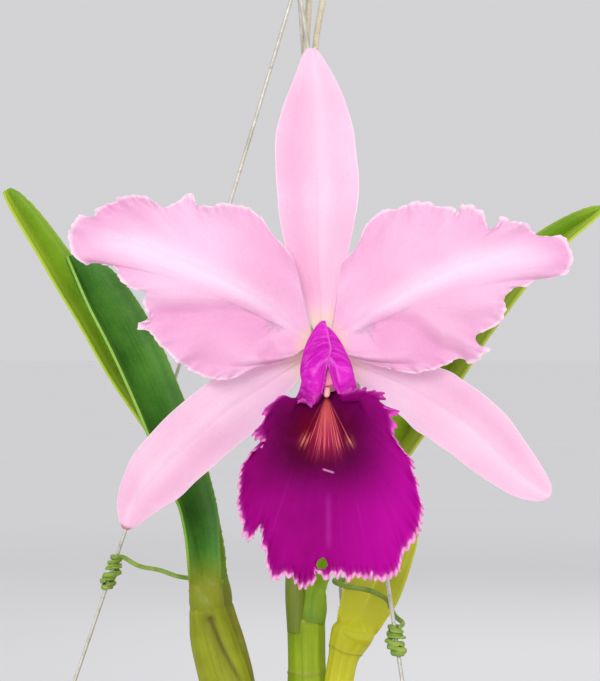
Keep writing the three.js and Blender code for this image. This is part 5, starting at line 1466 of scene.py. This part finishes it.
def lip():
    v = np.linspace(0, 1, LIP_COLUMNS)
    knots, margin, loose, turn = lip_ribs()
    low = 0.5 + 0.5 * np.cos(turn * math.pi)
    tube_end = (len(LIP_RINGS) - 1) / (len(LIP_RINGS) + 1)
    t = np.concatenate([np.linspace(0, tube_end, LIP_TUBE_ROWS + 1)[:-1],
                        1 - (1 - tube_end) * np.linspace(1, 0, LIP_FLARE_ROWS + 1) ** 1.4])
    grid = curve(knots, t)
    outward = unit(grid[-1] - grid[-8])
    flare = np.clip((t - tube_end) / (1 - tube_end), 0, 1)
    grid = grid + settled(margin, LIP_SETTLING, flare, loose) - knots[-1]
    flare = flare[:, None]
    lobe = 0.15 + 0.85 * smooth(5 * low)
    w = share_along(knots[-1])
    # Frills: broad waves, and finer ones nearer to the margin.
    wave = 2 * math.pi * LIP_WAVES * w + 1.2 * wobble(w, 5, 2, 5)
    frill = LIP_FRILL * smooth((flare - 0.76) / 0.24) * lobe
    fine = LIP_FINE_FRILL * smooth((flare - 0.91) / 0.09) * lobe * (0.8 + 0.4 * wobble(v, 6, 4, 12))
    ripple = 2 * math.pi * LIP_FINE_WAVES * v + 2.2 * wobble(v, 7, 6, 20)
    forward = frill * np.sin(wave) + fine * np.sin(ripple)
    stretch = 0.3 * frill * np.cos(wave) + 0.7 * fine * np.cos(ripple)
    grid = grid + FRONT * forward[..., None] + outward[None] * stretch[..., None]
    local_x, local_z = grid[..., 0].copy(), grid[..., 2].copy()
    front_lobe = (flare > 0.3) & (low > 0.5)
    # Points near the hole's middle are pushed out to its rim, and the cells within are dropped.
    hole_x, hole_z = local_x - LIP_HOLE[0], local_z - LIP_HOLE[1]
    away = np.hypot(hole_x, hole_z * 1.15) * (1 + 0.1 * np.sin(3 * np.arctan2(hole_z, hole_x) + 0.6))
    widened = (away**3 + LIP_HOLE_RADIUS**3) ** (1 / 3) / np.maximum(away, 1e-6)
    push = np.where(front_lobe & (away < LIP_HOLE_PUSH), widened, 1)
    grid[..., 0] += hole_x * (push - 1)
    grid[..., 2] += hole_z * (push - 1)
    dropped = cells(np.where(front_lobe, away, np.inf)).mean(axis=-1) < LIP_HOLE_CORE
    # The markings: the brush of hairs with its core and tips, the dark throat, and a painted highlight down
    # the front lobe's middle.
    ray_x, ray_z = local_x - BRUSH_ROOT[0], local_z - BRUSH_ROOT[1]
    reach = np.hypot(ray_x, ray_z)
    ray = np.arctan2(ray_x, -ray_z)
    inner = smooth(low / 0.3)
    brush = smooth((0.53 - np.abs(ray)) / 0.08) * smooth((17.5 - reach) / 2) * smooth(reach / 1.5) * inner
    core = np.exp(-((ray / 0.3) ** 4)) * smooth((22.5 - reach) / 11) * smooth(reach / 1) * inner
    tips = np.exp(-(((np.abs(ray) - 0.46) / 0.06) ** 2 + ((reach - 15.8) / 1.5) ** 2)) * inner
    near_throat = smooth(low / 0.4)
    dusk = np.exp(-((np.abs(local_x + 0.5) / 19.5) ** 3 + (np.abs(local_z + 28) / 15.5) ** 3)) * near_throat
    ember = np.exp(-(((local_x + 1) / 7) ** 2 + ((local_z + 26) / 7) ** 2)) * near_throat
    # A painted highlight of a fold down the front lobe's middle.
    midvein = 0.22 * bell(local_x - 1.6, 0.8) * smooth((-43 - local_z) / 4) * smooth((local_z + 62) / 4)
    thickness = PETAL_THICK - (PETAL_THICK - PETAL_EDGE) * smooth((flare - 0.7) / 0.3)
    # The pale rim, the side lobes' overlapping edges, painted shade in the hood's folds, and its ridges.
    seam = smooth((0.012 - np.minimum(v, 1 - v)) / 0.01)
    rim_share = 0.07 * np.clip(LIP_RIM_SPAN / np.linalg.norm(knots[-1] - knots[-2], axis=1), 1, 2.6)
    t = t[:, None]
    rim = np.maximum(smooth((flare - 1 + rim_share) / rim_share) * lobe, 0.62 * seam * smooth(t / 0.3))
    # Painted shade where the hood's outer face turns inward.
    fold = smooth((np.abs(turn) - 0.72) / 0.12) * smooth((flare - 0.25) / 0.3)
    ridge = smooth((0.009 - np.minimum(v, 1 - v)) / 0.006) * smooth((t - 0.2) / 0.15)
    for branch in HOOD_BRANCHES:
        branch_gap, branch_place = beside(local_x, local_z, branch)
        line = bell(branch_gap, 0.42) * smooth((1 - branch_place) / 0.4) * (np.abs(turn) > 0.5)
        ridge = np.maximum(ridge, 0.8 * line * (flare < 1))
    shape = blade(FLOWER + grid, thickness, dropped, along=t, across=v, rim=rim, brush=brush, core=core,
                  tips=tips, dusk=dusk, ember=ember, midvein=midvein, ray=ray, reach=reach,
                  flush=smooth((local_x + 6) / 30) * (1 - dusk), fold=0.12 * fold, ridge=ridge,
                  bleach=smooth((-20 - local_z) / 22), front=smooth((low - 0.15) / 0.3),
                  rib=t - 0.22 * np.abs(turn))
    flared = smooth((shape.marks["along"] - tube_end) * 4) * shape.marks["front"]
    shape.marks["outside"] = outer_face(shape) * (1 - 0.75 * flared)
    piece("flesh_lip", shape, lip_paint(), "lip", "lip")


def outer_face(shape):
    """1 on the face of the lip's blade that is turned away from the tube's middle, 0 on the other."""
    base, face = shape.marks["along"] < 0.2, shape.marks["face"]
    middle = FLOWER + np.array([0.1, -5, 0])
    gap = np.linalg.norm(shape.points - middle, axis=1)
    return face if gap[base & (face == 1)].mean() > gap[base & (face == 0)].mean() else 1 - face


lip()

# ---- column
COLUMN = [[0, 1, 0], [0.1, -6, -0.8], [0.9, -14, -3.8], [1.95, -20.1, -7.4], [2.5, -25.2, -12.7]]
ANTHER_CAP = [[1.5, -26.5, -13], [1.35, -27.2, -13.9], [1.2, -27.5, -14.8], [1.1, -27.4, -15.5]]


def column():
    places = np.linspace(0, 1, 70)
    size = through([[0, 2.4], [0.4, 2.3], [0.75, 2.35], [0.95, 2.4], [1, 1.9]])(places)
    sides = 28
    angle = side_angles(sides)
    keel = 1 + 0.1 * np.cos(3 * angle) * smooth(places / 0.5)[:, None]
    shape = tube(FLOWER + curve(COLUMN, places), size[:, None] * keel, sides, 0.9)
    flesh = waxy_paint("column", (238, 138, 168), (226, 96, 178), (206, 52, 150))
    piece("flesh_column", shape, flesh, "column", "column")
    places = np.linspace(0, 1, 30)
    size = through([[0, 0.95], [0.5, 1], [0.85, 0.75], [1, 0.3]])(places)
    cleft = 1 - 0.12 * bell(wrapped(angle - math.pi / 2), 0.3)
    shape = tube(FLOWER + curve(ANTHER_CAP, places), size[:, None] * cleft, sides)
    flesh = waxy_paint("anther", (246, 192, 182), (238, 158, 176), (226, 136, 136))
    piece("flesh_anther_cap", shape, flesh, "anther", "anther_cap")


column()

# ---- flower stalk and its sheath
STALK = [[-1, 1.2, 179], [-1.7, 0.4, 190], [-0.6, -0.6, 208], [3, -1.6, 228], [6.8, -4.5, 244],
         [8.6, -14, 259], [8, -29, 268.5], [7.2, -43, 270.6], [7, -50, 270]]
STALK_RADIUS = [[0, 1.8], [0.55, 1.9], [0.7, 2.4], [0.9, 3], [1, 3.6]]
FLOWER_SEAT = 1.8
SEAT_RADIUS = 5
SHEATH = [[-1.4, 1, 172], [-1.7, 0.4, 188], [-0.8, -0.4, 204], [0.6, -1, 216]]


def flower_stalk():
    places = np.linspace(0, 1, 130)
    line, size = curve(STALK, places), through(STALK_RADIUS)(places)
    backs = np.array([3.8, 3.3, 2.6, 2.1, FLOWER_SEAT])
    seat = FLOWER - FRONT * backs[:, None]
    line = np.concatenate([line, seat])
    size = np.concatenate([size, [3.9, 4.6, SEAT_RADIUS, SEAT_RADIUS, SEAT_RADIUS - 0.5]])
    sides = 36
    share = np.linspace(0, 1, len(size))
    ovary = smooth((share - 0.66) / 0.1) * smooth((1 - share) / 0.06)
    reach = size[:, None] * (1 + 0.05 * ovary[:, None] * np.cos(6 * side_angles(sides)))
    flesh = stem_paint("stalk", (150, 178, 70), (206, 216, 150), (118, 150, 56))
    piece("stem_flower_stalk", tube(line, reach, sides), flesh, "stalk", "flower_stalk")


def floral_sheath():
    """An open oval sleeve: its outer wall going up and its inner wall coming down again."""
    rows, sides, wall = 70, 48, 0.7
    places = np.linspace(0, 1, rows)
    line = curve(SHEATH, places)
    size = through([[0, 3], [0.3, 3.4], [0.8, 3.3], [1, 2.9]])(places)
    outer, inner = (rings_round(line, radius, sides, 1.15) for radius in (size, size - wall))
    shape = skin(np.concatenate([outer, inner[::-1]]), capped=False)
    flesh = stem_paint("sheath", (122, 142, 40), (150, 158, 64), (100, 120, 32))
    piece("stem_floral_sheath", shape, flesh, "sheath", "floral_sheath")


flower_stalk()
floral_sheath()


# ---- wire hanger
def at_rim(azimuth, out, height):
    """A point at an azimuth in degrees, so far out from the pot's rim, at a height."""
    reach = POT_RIM_RADIUS + out
    return [reach * math.cos(math.radians(azimuth)), reach * math.sin(math.radians(azimuth)), height]


RIM_CLEAR = WIRE_RADIUS + GAP + 0.2


def on_wire(place, share):
    """A point of a wire's free span, from 0 at the crown to 1 at the rim."""
    foot = np.array(at_rim(WIRE_AZIMUTHS[place], RIM_CLEAR, POT_HEIGHT + 1))
    return CROWN + (foot - CROWN) * share + [WIRE_BOW[place] * math.sin(math.pi * share), 0, 0]


def hanger_wire(place):
    """A wire from the crown to the rim, over the pot's band and in under it."""
    azimuth = WIRE_AZIMUTHS[place]
    clear = WIRE_RADIUS + GAP
    low = BAND_BOTTOM - clear
    span = [on_wire(place, share) for share in (0.012, 0.2, 0.4, 0.6, 0.8, 0.96)]
    hooked = [[RIM_CLEAR, POT_HEIGHT + 1], [RIM_CLEAR, POT_HEIGHT - 3], [RIM_CLEAR, BAND_BOTTOM + 3],
              [clear, BAND_BOTTOM + 0.6], [clear - 0.8, low + 0.2], [-1.2, low],
              [clear - POT_BAND_STEP + 0.8, low]]
    return tube_along(span + [at_rim(azimuth, *place) for place in hooked], 240, WIRE_RADIUS)


wire_skin = wire_paint("wire", (226, 224, 212), (192, 190, 178), (140, 132, 114))
for place in WIRE_AZIMUTHS:
    piece(f"rod_wire_{place}", hanger_wire(place), wire_skin, "wire", f"hanger_wire_{place}")


def windings(place, start, end, turns):
    """Points wound round a hanger wire between two heights, crowded at the ends and twice between."""
    points_per_turn = 8
    share = np.linspace(0, 1, turns * points_per_turn + 1)
    seed = turns + len(place)
    bunched = share - 0.05 * np.sin(6 * math.pi * share) + 0.03 * wobble(share, seed, 4, 12)
    height = start + (end - start) * bunched
    reach = WIRE_RADIUS + GAP + TIE_RADIUS * 0.8 + 0.7 * np.sin(3 * math.pi * share) ** 2
    reach = reach + 0.4 * wobble(share, seed + 1, 6, 16)
    angle = 2 * math.pi * (turns * share + 0.12 * wobble(share, seed + 2, 4, 12))
    points = []
    for h, r, a in zip(height, np.maximum(reach, WIRE_RADIUS + TIE_RADIUS), angle):
        centre = on_wire(place, (CROWN[2] - h) / (CROWN[2] - POT_HEIGHT - 1))
        points.append([centre[0] + r * math.cos(a), centre[1] + r * math.sin(a), h])
    return points


TIES = {
    "left": windings("left", 186.5, 197, 8) + [
        [-61, 7, 197], [-55.6, 2.5, 194.5], [-48, -3.5, 193.6], [-41.5, -8.6, 192], [-37.5, -7.8, 191.3],
        [-33, -7.2, 190.9], [-29, -8, 190.6], [-26.4, -11, 190.4]],
    "right": [
        [33, -1, 186.2], [31, 2, 186.6], [25, 5.4, 187.8], [18, 6, 188.8], [12.6, 2, 189.8],
        [11.8, -6, 189.8], [16, -11.6, 188.8], [23, -13.4, 187.8], [28, -18, 186], [29.6, -32, 184.5],
        [31, -50, 183], [32.8, -60, 182]] + windings("front", 181.5, 173.5, 7),
}
tie_skin = coated_paint("tie_coating", (152, 180, 72), (118, 150, 52), (74, 104, 34))
for side, path in TIES.items():
    ribbon = tube_along(path, 8 * len(path), TIE_RADIUS * 1.1, 12, 0.6)
    piece(f"tie_{side}", ribbon, tie_skin, "tie", f"twist_tie_{side}")

HOOK_SEAT = CROWN[2] + 5
COLLAR_CRIMPS = (4.2, 8.8)  # heights above the collar's lower end
COLLAR_CRIMP_DEPTH = 0.45
COLLAR_ROUNDING = 0.8


def hook():
    """An open hook on a straight neck, with a rounded tip."""
    start, end = 200, -60  # degrees round the bend
    neck_top = CROWN[2] + COLLAR_LENGTH / 2 + HOOK_NECK

    def on_bend(angle):
        return HOOK_BEND * np.array([math.cos(math.radians(angle)), 0, math.sin(math.radians(angle))])

    middle = np.array([CROWN[0], CROWN[1], neck_top]) - on_bend(start)
    points = [[CROWN[0], CROWN[1], HOOK_SEAT], [CROWN[0], CROWN[1], neck_top - 3]]
    points += [list(on_bend(angle) + middle) for angle in range(start, end - 1, -20)]
    return tube_along(points, 150, lambda t: HOOK_WIRE_RADIUS * np.sqrt(smooth((1.004 - t) / 0.012)), 20)


def collar():
    """A crimped ferrule with a rounded rim at both ends."""
    top = CROWN[2] + COLLAR_LENGTH / 2
    heights = np.linspace(0, COLLAR_LENGTH, 60)
    crimps = sum(COLLAR_CRIMP_DEPTH * bell(heights - height, 0.9) for height in COLLAR_CRIMPS)
    from_rim = (1 - np.minimum(heights, COLLAR_LENGTH - heights) / COLLAR_ROUNDING).clip(0, 1)
    ends = COLLAR_ROUNDING * (1 - np.sqrt(np.clip(1 - from_rim**2, 0, 1)))
    radius = COLLAR_RADIUS - crimps - ends
    profile = [[0, 0]] + [[r, h] for r, h in zip(radius, heights)] + [[0, COLLAR_LENGTH]]
    shape = lathe(profile, 48)
    shape.points += [CROWN[0], CROWN[1], top - COLLAR_LENGTH]
    return shape


hardware_skin = wire_paint("hardware", (212, 210, 202), (172, 169, 160), (116, 106, 90))
piece("rod_hook", hook(), hardware_skin, "hardware", "hanger_hook")
piece("ferrule", collar(), hardware_skin, "hardware", "hanger_collar")
